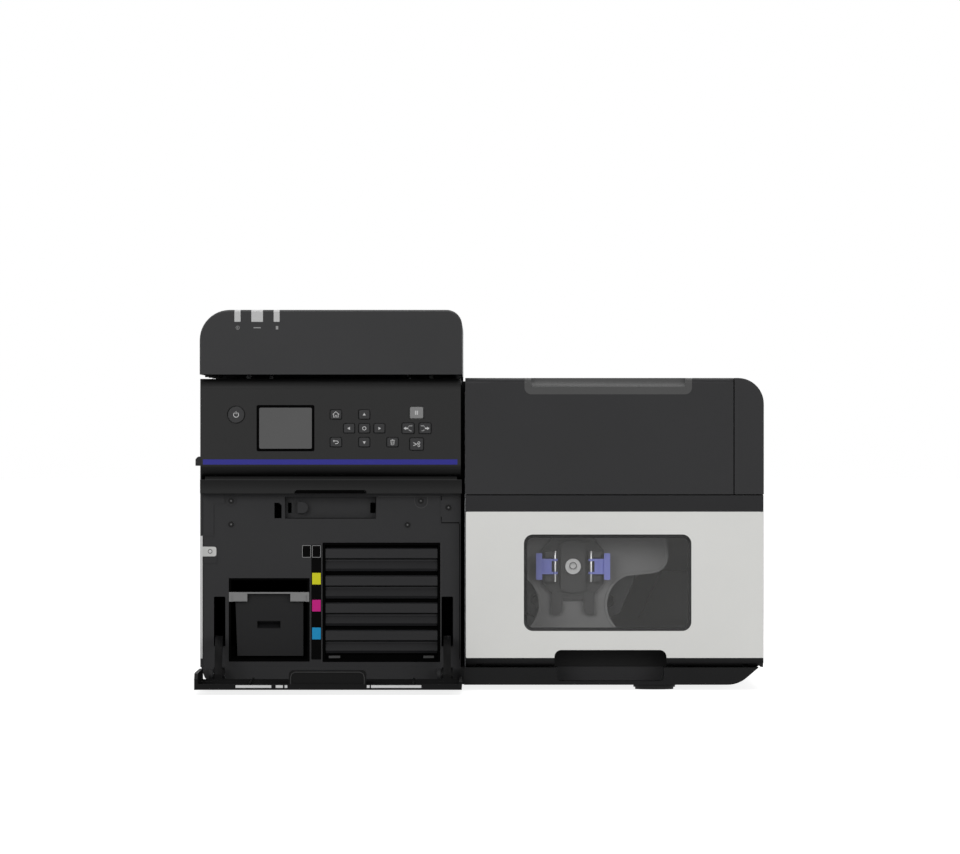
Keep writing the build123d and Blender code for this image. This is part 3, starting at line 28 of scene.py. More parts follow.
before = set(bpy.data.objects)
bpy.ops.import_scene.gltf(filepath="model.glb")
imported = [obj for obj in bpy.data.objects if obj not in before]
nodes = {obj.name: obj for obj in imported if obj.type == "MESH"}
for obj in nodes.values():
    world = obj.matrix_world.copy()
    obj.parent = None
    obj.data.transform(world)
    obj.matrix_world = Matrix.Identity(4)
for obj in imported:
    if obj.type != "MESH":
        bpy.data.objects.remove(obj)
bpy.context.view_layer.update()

MM = 0.001

# Places in the photograph, in pixels, and their scale at the front of the machine.
PHOTO_SCALE = 1.16 * MM
PHOTO_MIDDLE = 478.5
PHOTO_BASE = 690.0
VIEW_CENTRE = (480.0, 427.0)
VIEW_DISTANCE = 10.2
FRAME_PIXELS = 960
SENSOR_WIDTH = 36.0
FAR_CLIP = 60.0
FLOOR_REACH = 40.0

# Planes and corners of the frame that the trim is set against.
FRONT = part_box("roll_top_cover")[0].y
BAY_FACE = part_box("maintenance_bay")[0].y
BAY_PLATE = BAY_FACE - 1.2 * MM
WINDOW_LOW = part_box("viewing_window")[0]
FACE_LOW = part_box("front_face_plate")[0].z

# Thin printed marks stand half their thickness proud of what carries them.
PRINT = 0.1 * MM
LINE = 0.5 * MM
EDGE_WIDTH = 0.5 * MM
SHARPEST_EDGE = 35
LABEL_LIFT = 0.35 * MM

# Painted shade on the control panel down its height: dark on its rounded top edge, on the curve under the
# light strip and at the top of the ledge below, which also has its own darker tone. Pixel row and grey,
# lowest first.
PANEL_SHADE_BANDS = ((496.0, 0.014), (490.0, 0.013), (485.0, 0.006), (480.4, 0.0015), (479.9, 0.022),
               (479.0, 0.022), (478.5, 0.0), (474.0, 0.0005), (467.5, 0.003), (465.5, 0.012),
               (463.5, 0.021), (390.0, 0.021), (385.0, 0.010), (380.5, 0.003), (375.0, 0.002))

# Grain of moulded plastic, and the slow change of its colour and gloss.
GRAIN = 2600.0
GRAIN_DEPTH = 0.03 * MM
PRINT_GRAIN_DEPTH = 0.01 * MM
CLOUD_SCALE = 7.0
SMEAR_SCALE = 38.0
WINDOW_SMOKE = 0.12


def photo_x(pixel):
    return (pixel - PHOTO_MIDDLE) * PHOTO_SCALE


def photo_z(pixel):
    return (PHOTO_BASE - pixel) * PHOTO_SCALE


# Materials

def new_material(name):
    material = bpy.data.materials.new(name)
    material.use_nodes = True
    tree = material.node_tree
    shader = tree.nodes["Principled BSDF"]
    return material, tree, shader


def add_node(tree, kind, **values):
    node = tree.nodes.new(kind)
    for key, value in values.items():
        if key in node.inputs:
            node.inputs[key].default_value = value
        else:
            setattr(node, key, value)
    return node


def object_coordinates(tree, scale=(1, 1, 1)):
    coordinates = add_node(tree, "ShaderNodeTexCoord")
    mapping = add_node(tree, "ShaderNodeMapping")
    mapping.inputs["Scale"].default_value = scale
    tree.links.new(coordinates.outputs["Object"], mapping.inputs["Vector"])
    return mapping.outputs["Vector"]


def noise(tree, vector, scale, detail=4.0, roughness=0.55):
    texture = add_node(tree, "ShaderNodeTexNoise", Scale=scale, Detail=detail, Roughness=roughness)
    tree.links.new(vector, texture.inputs["Vector"])
    return texture.outputs["Fac"]


def ramp(tree, factor, low, high, start=0.3, end=0.7):
    """A colour ramp between two colours or two greys."""
    blend = add_node(tree, "ShaderNodeValToRGB")
    blend.color_ramp.elements[0].position = start
    blend.color_ramp.elements[1].position = end
    blend.color_ramp.elements[0].color = low
    blend.color_ramp.elements[1].color = high
    tree.links.new(factor, blend.inputs["Fac"])
    return blend.outputs["Color"]


def grey(value):
    return (value, value, value, 1.0)


def tinted(colour, factor):
    return tuple(min(1.0, part * factor) for part in colour[:3]) + (1.0,)


def plastic_surface(tree, vector, shader, roughness, shine, grain=GRAIN, depth=GRAIN_DEPTH):
    """Gloss that smears a little and a spark-eroded grain, the same for all moulded plastics."""
    smear = noise(tree, vector, SMEAR_SCALE, 5.0, 0.6)
    gloss = ramp(tree, smear, grey(roughness - 0.015), grey(roughness + 0.02))
    tree.links.new(gloss, shader.inputs["Roughness"])
    bump = add_node(tree, "ShaderNodeBump", Strength=0.35, Distance=depth)
    tree.links.new(noise(tree, vector, grain, 2.0, 0.5), bump.inputs["Height"])
    tree.links.new(bump.outputs["Normal"], shader.inputs["Normal"])
    shader.inputs["Specular IOR Level"].default_value = shine


def cloudy(tree, cloud, colour, spread):
    return ramp(tree, cloud, tinted(colour, 1 - spread), tinted(colour, 1 + spread))


def moulded(name, colour, roughness=0.42, grain=GRAIN, depth=GRAIN_DEPTH, spread=0.05, coat=0.0, shine=0.17):
    """Moulded plastic of one colour, faintly cloudy."""
    material, tree, shader = new_material(name)
    vector = object_coordinates(tree)
    cloud = noise(tree, vector, CLOUD_SCALE, 3.0)
    tree.links.new(cloudy(tree, cloud, colour, spread), shader.inputs["Base Color"])
    plastic_surface(tree, vector, shader, roughness, shine, grain, depth)
    shader.inputs["Coat Weight"].default_value = coat
    shader.inputs["Coat Roughness"].default_value = 0.2
    return material


def brushed(name, colour, roughness=0.32, along=(30, 900, 900)):
    """Rolled or ground steel with lines along one axis."""
    material, tree, shader = new_material(name)
    vector = object_coordinates(tree, along)
    lines = noise(tree, vector, 3.0, 6.0, 0.7)
    tone = ramp(tree, lines, tinted(colour, 0.82), tinted(colour, 1.12))
    tree.links.new(tone, shader.inputs["Base Color"])
    gloss = ramp(tree, lines, grey(roughness - 0.08), grey(roughness + 0.10))
    tree.links.new(gloss, shader.inputs["Roughness"])
    bump = add_node(tree, "ShaderNodeBump", Strength=0.25, Distance=0.00002)
    tree.links.new(lines, bump.inputs["Height"])
    tree.links.new(bump.outputs["Normal"], shader.inputs["Normal"])
    shader.inputs["Metallic"].default_value = 1.0
    return material


def zinc_sheet(name):
    """Galvanised sheet with the large soft flakes of its coat."""
    material, tree, shader = new_material(name)
    vector = object_coordinates(tree)
    flakes = add_node(tree, "ShaderNodeTexVoronoi", Scale=85.0)
    tree.links.new(vector, flakes.inputs["Vector"])
    tone = ramp(tree, flakes.outputs["Color"], (0.22, 0.225, 0.23, 1), (0.35, 0.36, 0.37, 1), 0.1, 0.9)
    tree.links.new(tone, shader.inputs["Base Color"])
    smear = noise(tree, vector, 60.0)
    gloss = ramp(tree, smear, grey(0.34), grey(0.5))
    tree.links.new(gloss, shader.inputs["Roughness"])
    shader.inputs["Metallic"].default_value = 0.85
    return material


def two_tone(name, outer, inner, roughness, axis, low, high, by_normal=False, shine=0.14):
    """Moulded plastic that turns from one colour to another along an axis, or by the side a face looks to."""
    material, tree, shader = new_material(name)
    coordinates = add_node(tree, "ShaderNodeTexCoord")
    vector = coordinates.outputs["Object"]
    split = add_node(tree, "ShaderNodeSeparateXYZ")
    tree.links.new(coordinates.outputs["Normal"] if by_normal else vector, split.inputs[0])
    place = add_node(tree, "ShaderNodeMapRange")
    place.inputs["From Min"].default_value = low
    place.inputs["From Max"].default_value = high
    tree.links.new(split.outputs[axis], place.inputs["Value"])
    blend = add_node(tree, "ShaderNodeMix", data_type="RGBA")
    tree.links.new(place.outputs["Result"], blend.inputs["Factor"])
    cloud = noise(tree, vector, CLOUD_SCALE, 3.0)
    tree.links.new(cloudy(tree, cloud, outer, 0.05), blend.inputs["A"])
    tree.links.new(cloudy(tree, cloud, inner, 0.05), blend.inputs["B"])
    tree.links.new(blend.outputs["Result"], shader.inputs["Base Color"])
    plastic_surface(tree, vector, shader, roughness, shine)
    return material


def banded(name, bands, roughness, shine):
    """Moulded plastic whose tone follows the height: bands are pairs of height and grey, lowest first."""
    material, tree, shader = new_material(name)
    vector = object_coordinates(tree)
    split = add_node(tree, "ShaderNodeSeparateXYZ")
    tree.links.new(vector, split.inputs[0])
    lowest, highest = bands[0][0], bands[-1][0]
    place = add_node(tree, "ShaderNodeMapRange")
    place.inputs["From Min"].default_value = lowest
    place.inputs["From Max"].default_value = highest
    tree.links.new(split.outputs["Z"], place.inputs["Value"])
    tone = add_node(tree, "ShaderNodeValToRGB")
    stops = tone.color_ramp.elements
    while len(stops) < len(bands):
        stops.new(0.5)
    for stop, (height, level) in zip(stops, bands):
        stop.position = (height - lowest) / (highest - lowest)
        stop.color = grey(level)
    tree.links.new(place.outputs["Result"], tone.inputs["Fac"])
    tree.links.new(tone.outputs["Color"], shader.inputs["Base Color"])
    plastic_surface(tree, vector, shader, roughness, shine)
    return material


def rubber(name, colour):
    """Matt rubber with a little dust on it."""
    material, tree, shader = new_material(name)
    vector = object_coordinates(tree)
    dust = noise(tree, vector, 120.0, 6.0, 0.65)
    tone = ramp(tree, dust, tinted(colour, 0.8), tinted(colour, 1.9), 0.45, 0.85)
    tree.links.new(tone, shader.inputs["Base Color"])
    bump = add_node(tree, "ShaderNodeBump", Strength=0.4, Distance=0.00005)
    tree.links.new(noise(tree, vector, 900.0), bump.inputs["Height"])
    tree.links.new(bump.outputs["Normal"], shader.inputs["Normal"])
    shader.inputs["Roughness"].default_value = 0.78
    return material


def smoked_window(name):
    """Smoked clear plastic, thin enough to see the spindle through."""
    material, tree, shader = new_material(name)
    vector = object_coordinates(tree)
    smear = noise(tree, vector, 26.0, 5.0, 0.6)
    gloss = ramp(tree, smear, grey(0.05), grey(0.14))
    tree.links.new(gloss, shader.inputs["Roughness"])
    shader.inputs["Base Color"].default_value = (0.21, 0.21, 0.206, 1)
    shader.inputs["Alpha"].default_value = WINDOW_SMOKE
    shader.inputs["IOR"].default_value = 1.49
    return material


def circuit_board(name):
    """Green solder mask with darker tracks under it."""
    material, tree, shader = new_material(name)
    vector = object_coordinates(tree)
    tracks = add_node(tree, "ShaderNodeTexBrick", Scale=60.0)
    tracks.inputs["Mortar Size"].default_value = 0.05
    tracks.inputs["Color1"].default_value = (0.012, 0.11, 0.045, 1)
    tracks.inputs["Color2"].default_value = (0.010, 0.09, 0.040, 1)
    tracks.inputs["Mortar"].default_value = (0.03, 0.18, 0.08, 1)
    tree.links.new(vector, tracks.inputs["Vector"])
    tree.links.new(tracks.outputs["Color"], shader.inputs["Base Color"])
    shader.inputs["Roughness"].default_value = 0.35
    return material


def make_materials():
    return {
        "shell": moulded("shell_plastic", (0.023, 0.023, 0.024), 0.46),
        "cover": moulded("cover_plastic", (0.017, 0.017, 0.018), 0.46),
        "tray": two_tone("tray_plastic", (0.006, 0.006, 0.0063), (0.026, 0.026, 0.027), 0.5, "Y",
                         FRONT + 1.5 * MM, FRONT + 2.5 * MM, shine=0.09),
        "front_frame": two_tone("front_frame_plastic", (0.006, 0.006, 0.0063), (0.018, 0.018, 0.019), 0.48,
                                "Z", FACE_LOW - 1 * MM, FACE_LOW, shine=0.1),
        # Control panel: painted shade down its height, from the bands above.
        "panel": banded("panel_plastic_painted_shade", [(photo_z(y), level) for y, level in PANEL_SHADE_BANDS], 0.48, 0.1),
        "inner": moulded("bay_plastic", (0.016, 0.016, 0.017), 0.5),
        "deep": moulded("deep_plastic", (0.001, 0.001, 0.001), 0.6, shine=0.01),
        # Ink cover: its own dark grey on faces looking down, painted shade of near black on its other faces,
        # the inner side of the folded-down cover.
        "fold": two_tone("fold_plastic_painted_inner_shade", (0.024, 0.024, 0.025), (0.003, 0.003, 0.0031), 0.5, "Z",
                         -0.6, -0.2, by_normal=True, shine=0.07),
        # Grey of the painted glints on the screw heads.
        "painted_screw_glint": moulded("screw_glint", (0.07, 0.07, 0.07), 0.4, shine=0.3),
        # Grey of the painted highlight on the rim of the ink cover's grip.
        "rim": moulded("rim_plastic_painted_highlight", (0.022, 0.022, 0.022), 0.5, depth=PRINT_GRAIN_DEPTH, spread=0.03),
        # Lighter grey for the small marks under the cartridges, and for painted highlights on raised edges of
        # the ink bay.
        "dim": moulded("dim_print_and_edge_highlight", (0.045, 0.045, 0.045), 0.5, depth=PRINT_GRAIN_DEPTH, spread=0.03),
        "black_case": moulded("case_plastic", (0.014, 0.014, 0.015), 0.42),
        "hub_case": moulded("hub_case_plastic", (0.060, 0.060, 0.060), 0.45),
        "carrier": moulded("carrier_plastic", (0.21, 0.21, 0.21), 0.45),
        "grip_grey": moulded("grip_plastic", (0.060, 0.060, 0.060), 0.4),
        # Roll bay liner: near black below the window and light grey above it, the light grey partly its own
        # colour and partly painted light for the dim bay behind the smoked window.
        "liner": two_tone("liner_plastic_painted_light", (0.003, 0.003, 0.003), (0.30, 0.30, 0.30), 0.55, "Z",
                          WINDOW_LOW.z - 16 * MM, WINDOW_LOW.z - 12 * MM),
        "light_grey": moulded("face_plastic", (0.68, 0.68, 0.66), 0.4, spread=0.02),
        "tab_grey": moulded("tab_plastic", (0.20, 0.20, 0.20), 0.5),
        "cartridge": moulded("cartridge_plastic", (0.013, 0.013, 0.014), 0.4, shine=0.14),
        "box": moulded("box_plastic", (0.009, 0.009, 0.0095), 0.45, shine=0.12),
        "lens": moulded("lens_plastic", (0.45, 0.45, 0.45), 0.3, spread=0.03, coat=0.3),
        "blue": moulded("strip_plastic", (0.016, 0.016, 0.21), 0.32, spread=0.03, coat=0.1),
        # Lock levers: blue made lighter than their own colour, as painted light for the dim bay behind the
        # smoked window.
        "lever": moulded("lever_plastic_painted_light", (0.28, 0.31, 0.80), 0.34, spread=0.04),
        "button": moulded("button_plastic", (0.026, 0.026, 0.027), 0.36),
        "pause": moulded("pause_plastic", (0.20, 0.20, 0.20), 0.4, spread=0.04),
        "display": moulded("display_plastic", (0.082, 0.082, 0.082), 0.3, grain=5200.0, spread=0.02),
        # Spindle end: white made lighter than its own colour, as painted light for the dim bay behind the
        # smoked window.
        "hub_white_painted_light": moulded("hub_plastic_painted_light", (0.80, 0.80, 0.80), 0.4, spread=0.03),
        "smoked": smoked_window("smoked_plastic"),
        "steel": brushed("ground_steel", (0.62, 0.62, 0.62)),
        "tab_steel": moulded("tab_steel", (0.50, 0.50, 0.49), 0.5, spread=0.25, shine=0.2),
        "dark_steel": brushed("dark_steel", (0.012, 0.012, 0.012), 0.4),
        "shaft": brushed("turned_steel", (0.58, 0.58, 0.59), 0.28, (900, 30, 900)),
        "sheet": zinc_sheet("zinc_sheet"),
        "rubber": rubber("foot_rubber", (0.003, 0.003, 0.0032)),
        "roller_rubber": rubber("roller_rubber", (0.03, 0.03, 0.032)),
        "board": circuit_board("board_green"),
        "icon": moulded("icon_print", (0.50, 0.50, 0.50), 0.5, depth=PRINT_GRAIN_DEPTH, spread=0.03),
        "mark": moulded("mark_print", (0.26, 0.26, 0.26), 0.5, depth=PRINT_GRAIN_DEPTH, spread=0.03),
        "bright": moulded("bright_plastic", (0.55, 0.55, 0.55), 0.45, depth=PRINT_GRAIN_DEPTH, spread=0.03),
        "ink_black": moulded("ink_label_black", (0.0015, 0.0015, 0.0015), 0.5, shine=0.02),
        "ink_yellow": moulded("ink_label_yellow", (0.58, 0.57, 0.008), 0.45, spread=0.02),
        "ink_magenta": moulded("ink_label_magenta", (0.50, 0.006, 0.19), 0.45, spread=0.02),
        "ink_cyan": moulded("ink_label_cyan", (0.006, 0.25, 0.50), 0.45, spread=0.02),
    }


# Nodes that aren't listed are the buttons of the panel.
NODE_MATERIALS = {
    "base_tray": "tray", "rubber_feet": "rubber", "left_side_panel": "cover", "right_side_panel": "cover",
    "rear_panel": "cover", "mid_wall": "sheet", "print_frame": "sheet", "hinge_pins": "steel",
    "ink_bay_front": "inner", "cartridge_bay": "deep", "maintenance_bay": "deep", "control_panel": "panel",
    "light_strip": "blue", "display_glass": "display", "housing_screws": "dark_steel",
    "roll_bay_liner": "liner", "spindle_support": "carrier", "hub_plate": "hub_case",
    "paper_exit_guide": "shell", "main_circuit_board": "board",
    "power_supply": "sheet", "power_inlet": "black_case", "print_head": "black_case", "platen": "grip_grey",
    "feed_motor": "sheet", "cutter_rail": "steel", "printer_cover": "shell",
    "status_lights": "lens", "roll_top_cover": "cover", "top_cover_grip": "grip_grey",
    "roll_front_cover": "front_frame", "front_face_plate": "light_grey", "viewing_window": "smoked",
    "ink_cover": "fold", "maintenance_box": "box", "spindle": "hub_white_painted_light", "roll_flange": "black_case",
    "left_lock_lever": "lever", "right_lock_lever": "lever", "feed_roller": "roller_rubber",
    "pinch_roller": "shaft", "cutter_blade": "steel", "dancer_arm": "black_case",
    "cartridge_black": "cartridge", "cartridge_yellow": "cartridge", "cartridge_magenta": "cartridge",
    "cartridge_cyan": "cartridge", "button_pause": "pause",
}
SHARP_NODES = {"viewing_window", "display_glass", "light_strip", "housing_screws"}


def dress_nodes(materials):
    """Gives each CAD node its material and softens its edges by a small bevel."""
    for name, node in nodes.items():
        key = NODE_MATERIALS.get(name, "button")
        node.data.materials.clear()
        node.data.materials.append(materials[key])
        if name in SHARP_NODES:
            continue
        weld = node.modifiers.new("weld", "WELD")
        weld.merge_threshold = 0.01 * MM
        soft = node.modifiers.new("soft_edges", "BEVEL")
        soft.width = EDGE_WIDTH * (0.5 if name.startswith("button") else 1.0)
        soft.segments = 2
        soft.limit_method = "ANGLE"
        soft.angle_limit = math.radians(SHARPEST_EDGE)
        soft.harden_normals = True


# Printed marks and small trim

def plate_piece(name, outlines, y, thickness, material, body):
    """A thin piece facing the front, from closed X and Z outlines in metres. Inner outlines are holes."""
    curve = bpy.data.curves.new(name, "CURVE")
    curve.dimensions = "2D"
    curve.fill_mode = "BOTH"
    curve.extrude = thickness / 2
    for outline in outlines:
        spline = curve.splines.new("POLY")
        spline.points.add(len(outline) - 1)
        for point, (x, z) in zip(spline.points, outline):
            point.co = (x, z, 0, 1)
        spline.use_cyclic_u = True
    raw = bpy.data.objects.new(name + "_curve", curve)
    bpy.context.scene.collection.objects.link(raw)
    bpy.context.view_layer.update()
    mesh = bpy.data.meshes.new_from_object(raw.evaluated_get(bpy.context.evaluated_depsgraph_get()))
    bpy.data.objects.remove(raw)
    for vertex in mesh.vertices:
        x, z, depth = vertex.co
        vertex.co = (x, y - depth, z)
    mesh.flip_normals()
    mesh.materials.clear()
    mesh.materials.append(material)
    piece = bpy.data.objects.new(name, mesh)
    bpy.context.scene.collection.objects.link(piece)
    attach(piece, body)


def ribbon(points, width):
    """The outline of a line of the given width through X and Z points."""
    left, right = [], []
    for i, (x, z) in enumerate(points):
        before, after = points[max(i - 1, 0)], points[min(i + 1, len(points) - 1)]
        along = math.atan2(after[1] - before[1], after[0] - before[0])
        dx, dz = -math.sin(along) * width / 2, math.cos(along) * width / 2
        left.append((x + dx, z + dz))
        right.append((x - dx, z - dz))
    return [left + right[::-1]]


def arc(cx, cz, radius, start, end, steps=14):
    angles = [math.radians(start + (end - start) * i / steps) for i in range(steps + 1)]
    return [(cx + radius * math.cos(a), cz + radius * math.sin(a)) for a in angles]


def ring(cx, cz, radius, width, steps=24):
    outer = arc(cx, cz, radius, 0, 360 - 360 / steps, steps - 1)
    inner = arc(cx, cz, radius - width, 0, 360 - 360 / steps, steps - 1)
    return [outer, inner]


def rectangle(x0, x1, z0, z1, radius=0.0):
    if radius <= 0:
        return [(x0, z0), (x1, z0), (x1, z1), (x0, z1)]
    corners = ((x1 - radius, z0 + radius, -90), (x1 - radius, z1 - radius, 0),
               (x0 + radius, z1 - radius, 90), (x0 + radius, z0 + radius, 180))
    return [point for x, z, start in corners for point in arc(x, z, radius, start, start + 90, 5)]


def photo_rectangle(left, right, low, top, radius=0.0):
    """A rectangle between two pixel columns and two pixel rows."""
    return rectangle(photo_x(left), photo_x(right), photo_z(low), photo_z(top), radius)


def triangle(size, turn):
    return [[(size * math.cos(math.radians(turn + 120 * i)), size * math.sin(math.radians(turn + 120 * i)))
             for i in range(3)]]


def mirrored(outlines):
    return [[(-x, z) for x, z in outline] for outline in outlines]


def house():
    roof = ribbon([(-3.7, 0.1), (0, 3.4), (3.7, 0.1)], 0.75)
    walls = ribbon([(-2.6, 0.3), (-2.6, -3.0), (-0.9, -3.0), (-0.9, -0.9), (0.9, -0.9), (0.9, -3.0),
                    (2.6, -3.0), (2.6, 0.3)], 0.7)
    return roof + walls


def return_arrow():
    bend = arc(1.2, 0, 1.5, 80, -80, 8)
    line = ribbon([(-1.9, 1.5), (1.2, 1.5)] + bend + [(1.2, -1.5), (-1.0, -1.5)], 0.75)
    return line + [[(-3.6, 1.5), (-1.8, 2.9), (-1.8, 0.1)]]


def bin_shape():
    body = ribbon([(-1.9, 1.5), (-1.5, -2.9), (1.5, -2.9), (1.9, 1.5)], 0.6)
    bars = [rectangle(-0.85, -0.45, -2.0, 0.9), rectangle(0.45, 0.85, -2.0, 0.9)]
    return body + bars + [rectangle(-2.6, 2.6, 1.9, 2.5), rectangle(-0.9, 0.9, 2.7, 3.2)]


def feed_arrow():
    arrow = [[(-5.2, 0), (-2.6, 1.9), (-2.6, 0.8), (0.2, 0.8), (0.2, -0.8), (-2.6, -0.8), (-2.6, -1.9)]]
    bracket = ribbon([(1.2, 2.9), (5.0, 2.9)], 0.55) + ribbon([(0.6, 2.2), (0.6, 1.3)], 0.55)
    bracket += ribbon([(0.9, -1.4), (1.8, -2.7), (4.0, -3.0)], 0.55)
    return arrow + bracket


def scissors():
    handles = ring(2.6, 1.7, 1.5, 0.6) + ring(2.6, -1.7, 1.5, 0.6)
    front_blade = ribbon([(1.5, 1.0), (-0.6, -0.2), (-3.8, -1.9)], 0.75)
    rear_blade = ribbon([(1.5, -1.0), (0.4, -0.4)], 0.75) + ribbon([(-0.9, 0.35), (-3.8, 1.9)], 0.75)
    return handles + front_blade + rear_blade


def power_mark():
    return ribbon(arc(0, 0, 2.9, 125, 415, 22), 0.8) + [rectangle(-0.4, 0.4, 0.6, 3.8)]


def icon_outlines():
    """Outlines of the marks on the buttons, in millimetres from the middle of the button."""
    return {
        "power": power_mark(), "home": house(), "up": triangle(2.0, 90), "down": triangle(2.0, -90),
        "left": triangle(2.0, 180), "right": triangle(2.0, 0), "ok": ring(0, 0, 2.3, 0.7),
        "back": return_arrow(), "cancel": bin_shape(),
        "pause": [rectangle(-1.7, -0.35, -2.4, 2.4), rectangle(0.35, 1.7, -2.4, 2.4)],
        "feed_back": feed_arrow(), "feed_forward": mirrored(feed_arrow()), "cut": scissors(),
    }


def placed(outlines, x, z):
    """Outlines in millimetres, moved to a middle in metres."""
    return [[(x + a * MM, z + b * MM) for a, b in outline] for outline in outlines]


def make_icons(materials):
    for name, outlines in icon_outlines().items():
        node = "button_" + name
        low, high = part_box(node)
        cx, cz = (low.x + high.x) / 2, (low.z + high.z) / 2
        plate_piece("icon_" + name, placed(outlines, cx, cz), low.y - PRINT / 2, PRINT,
                    materials["icon"], node)


def make_status_marks(materials):
    """Generic marks under the three status lights."""
    z = photo_z(327.7)
    places = (photo_x(237.7), photo_x(257.2), photo_x(277.0))
    marks = (ring(0, 0, 2.2, 0.5) + [rectangle(-0.35, 0.35, -1.1, 1.1)], [rectangle(-4.2, 4.2, -0.6, 0.6)],
             [rectangle(-1.4, 1.4, -2.0, 2.0)])
    for index, (x, outlines) in enumerate(zip(places, marks)):
        plate_piece("status_mark_%d" % (index + 1), placed(outlines, x, z), FRONT - PRINT / 2, PRINT,
                    materials["mark"], "printer_cover")


def make_ink_labels(materials):
    """Strip of colour patches beside the cartridges, with an outlined patch for the black one."""
    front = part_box("cartridge_bay")[0].y
    columns = (311.8, 320.4)
    strip = photo_rectangle(311.0, 320.9, 660, 545, 0.8 * MM)
    plate_piece("ink_label_strip", [strip], front - 0.15 * MM, 0.3 * MM, materials["ink_black"], "chassis")
    patches = (("ink_yellow", 573.2, 584.8), ("ink_magenta", 600.2, 611.8), ("ink_cyan", 628.0, 639.8))
    for key, top, low in patches:
        patch = photo_rectangle(*columns, low, top, 0.6 * MM)
        plate_piece(key + "_patch", [patch], front - LABEL_LIFT, PRINT, materials[key], "chassis")
    for number, (left, right) in enumerate((columns, (301.8, 310.6))):
        outer = photo_rectangle(left, right, 557.8, 545.6, 0.9 * MM)
        inner = rectangle(photo_x(left) + LINE, photo_x(right) - LINE, photo_z(557.8) + LINE,
                          photo_z(545.6) - LINE, 0.5 * MM)
        plate_piece("ink_black_frame_%d" % (number + 1), [outer, inner], front - LABEL_LIFT, PRINT,
                    materials["mark"], "chassis")
    dark = photo_rectangle(302.2, 310.2, 557.4, 546.0)
    plate_piece("ink_black_ground", [dark], front - 0.15 * MM, 0.3 * MM, materials["ink_black"], "chassis")


def make_bay_trim(materials):
    """Light lip of the maintenance box, steel edge and bracket at the left, marks under the cartridges."""
    lip, lip_thickness, stem_length = BAY_FACE - 0.9 * MM, 0.7 * MM, 5.1 * MM
    low, top = 602, 592.5
    inner_left, inner_right = 246.8, 290.0
    grey_plastic = materials["tab_grey"]
    for side, (left, right), stem_sides in (("left", (228.4, inner_left), (232.2, inner_left)),
                                            ("right", (inner_right, 308.8), (inner_right, 305.8))):
        tab = photo_rectangle(left, right, low, top, 0.5 * MM)
        plate_piece("bay_tab_" + side, [tab], lip, lip_thickness, grey_plastic, "maintenance_box")
        stem = photo_rectangle(*stem_sides, 601.5, 595)
        plate_piece("bay_stem_" + side, [stem], lip + lip_thickness, stem_length, grey_plastic,
                    "maintenance_box")
    bar = photo_rectangle(inner_left, inner_right, 594.0, top)
    plate_piece("bay_bar", [bar], lip, lip_thickness, grey_plastic, "maintenance_box")

    steel_face, steel_thickness = BAY_PLATE - 0.3 * MM, 0.6 * MM
    edge = photo_rectangle(199.5, 202.0, 659.0, 536.0)
    plate_piece("steel_edge", [edge], steel_face, steel_thickness, materials["bright"], "chassis")
    corner, end, root = 2.6 * MM, photo_x(213.6), photo_x(202.0)
    tab = arc(end, photo_z(554.4), corner, -90, 0, 5) + arc(end, photo_z(549.2), corner, 0, 90, 5)
    tab += [(root, photo_z(546.9)), (root, photo_z(556.7))]
    plate_piece("steel_tab", [tab], steel_face, steel_thickness, materials["tab_steel"], "chassis")
    x, z = photo_x(209.6), photo_z(551.6)
    plate_piece("steel_tab_screw", [arc(x, z, 1.9 * MM, 0, 345, 23)], BAY_PLATE - 1.0 * MM, 0.8 * MM,
                materials["bright"], "chassis")
    plate_piece("steel_tab_groove", ring(x, z, 2.6 * MM, 0.7 * MM), BAY_PLATE - 0.65 * MM, PRINT,
                materials["ink_black"], "chassis")
    for name, left, right in (("left", 328.4, 339.8), ("right", 423.2, 433.8)):
        mark = photo_rectangle(left, right, 658.6, 656.2)
        plate_piece("cartridge_mark_" + name, [mark], BAY_FACE + 1.0 * MM, 0.8 * MM, materials["dim"],
                    "chassis")


def make_face_edges(materials):
    """Light return of the face plate round the right end of the cover, and a near-black plate as painted
    shade in the notch under the ledge.
    """
    low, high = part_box("front_face_plate")
    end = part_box("roll_front_cover")[1].x
    strip = rectangle(high.x, end - 0.2 * MM, low.z, high.z)
    plate_piece("face_return", [strip], FRONT - 0.05 * MM, 0.2 * MM, materials["light_grey"],
                "roll_front_cover")
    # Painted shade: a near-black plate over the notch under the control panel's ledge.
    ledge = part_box("control_panel")[0].z
    notch = [(photo_x(294), ledge), (photo_x(366), ledge), (photo_x(363.5), ledge + 4 * MM),
             (photo_x(296.5), ledge + 4 * MM)]
    plate_piece("ledge_notch_painted_shade", [notch], FRONT + 0.6 * MM, 1.0 * MM, materials["deep"], "chassis")


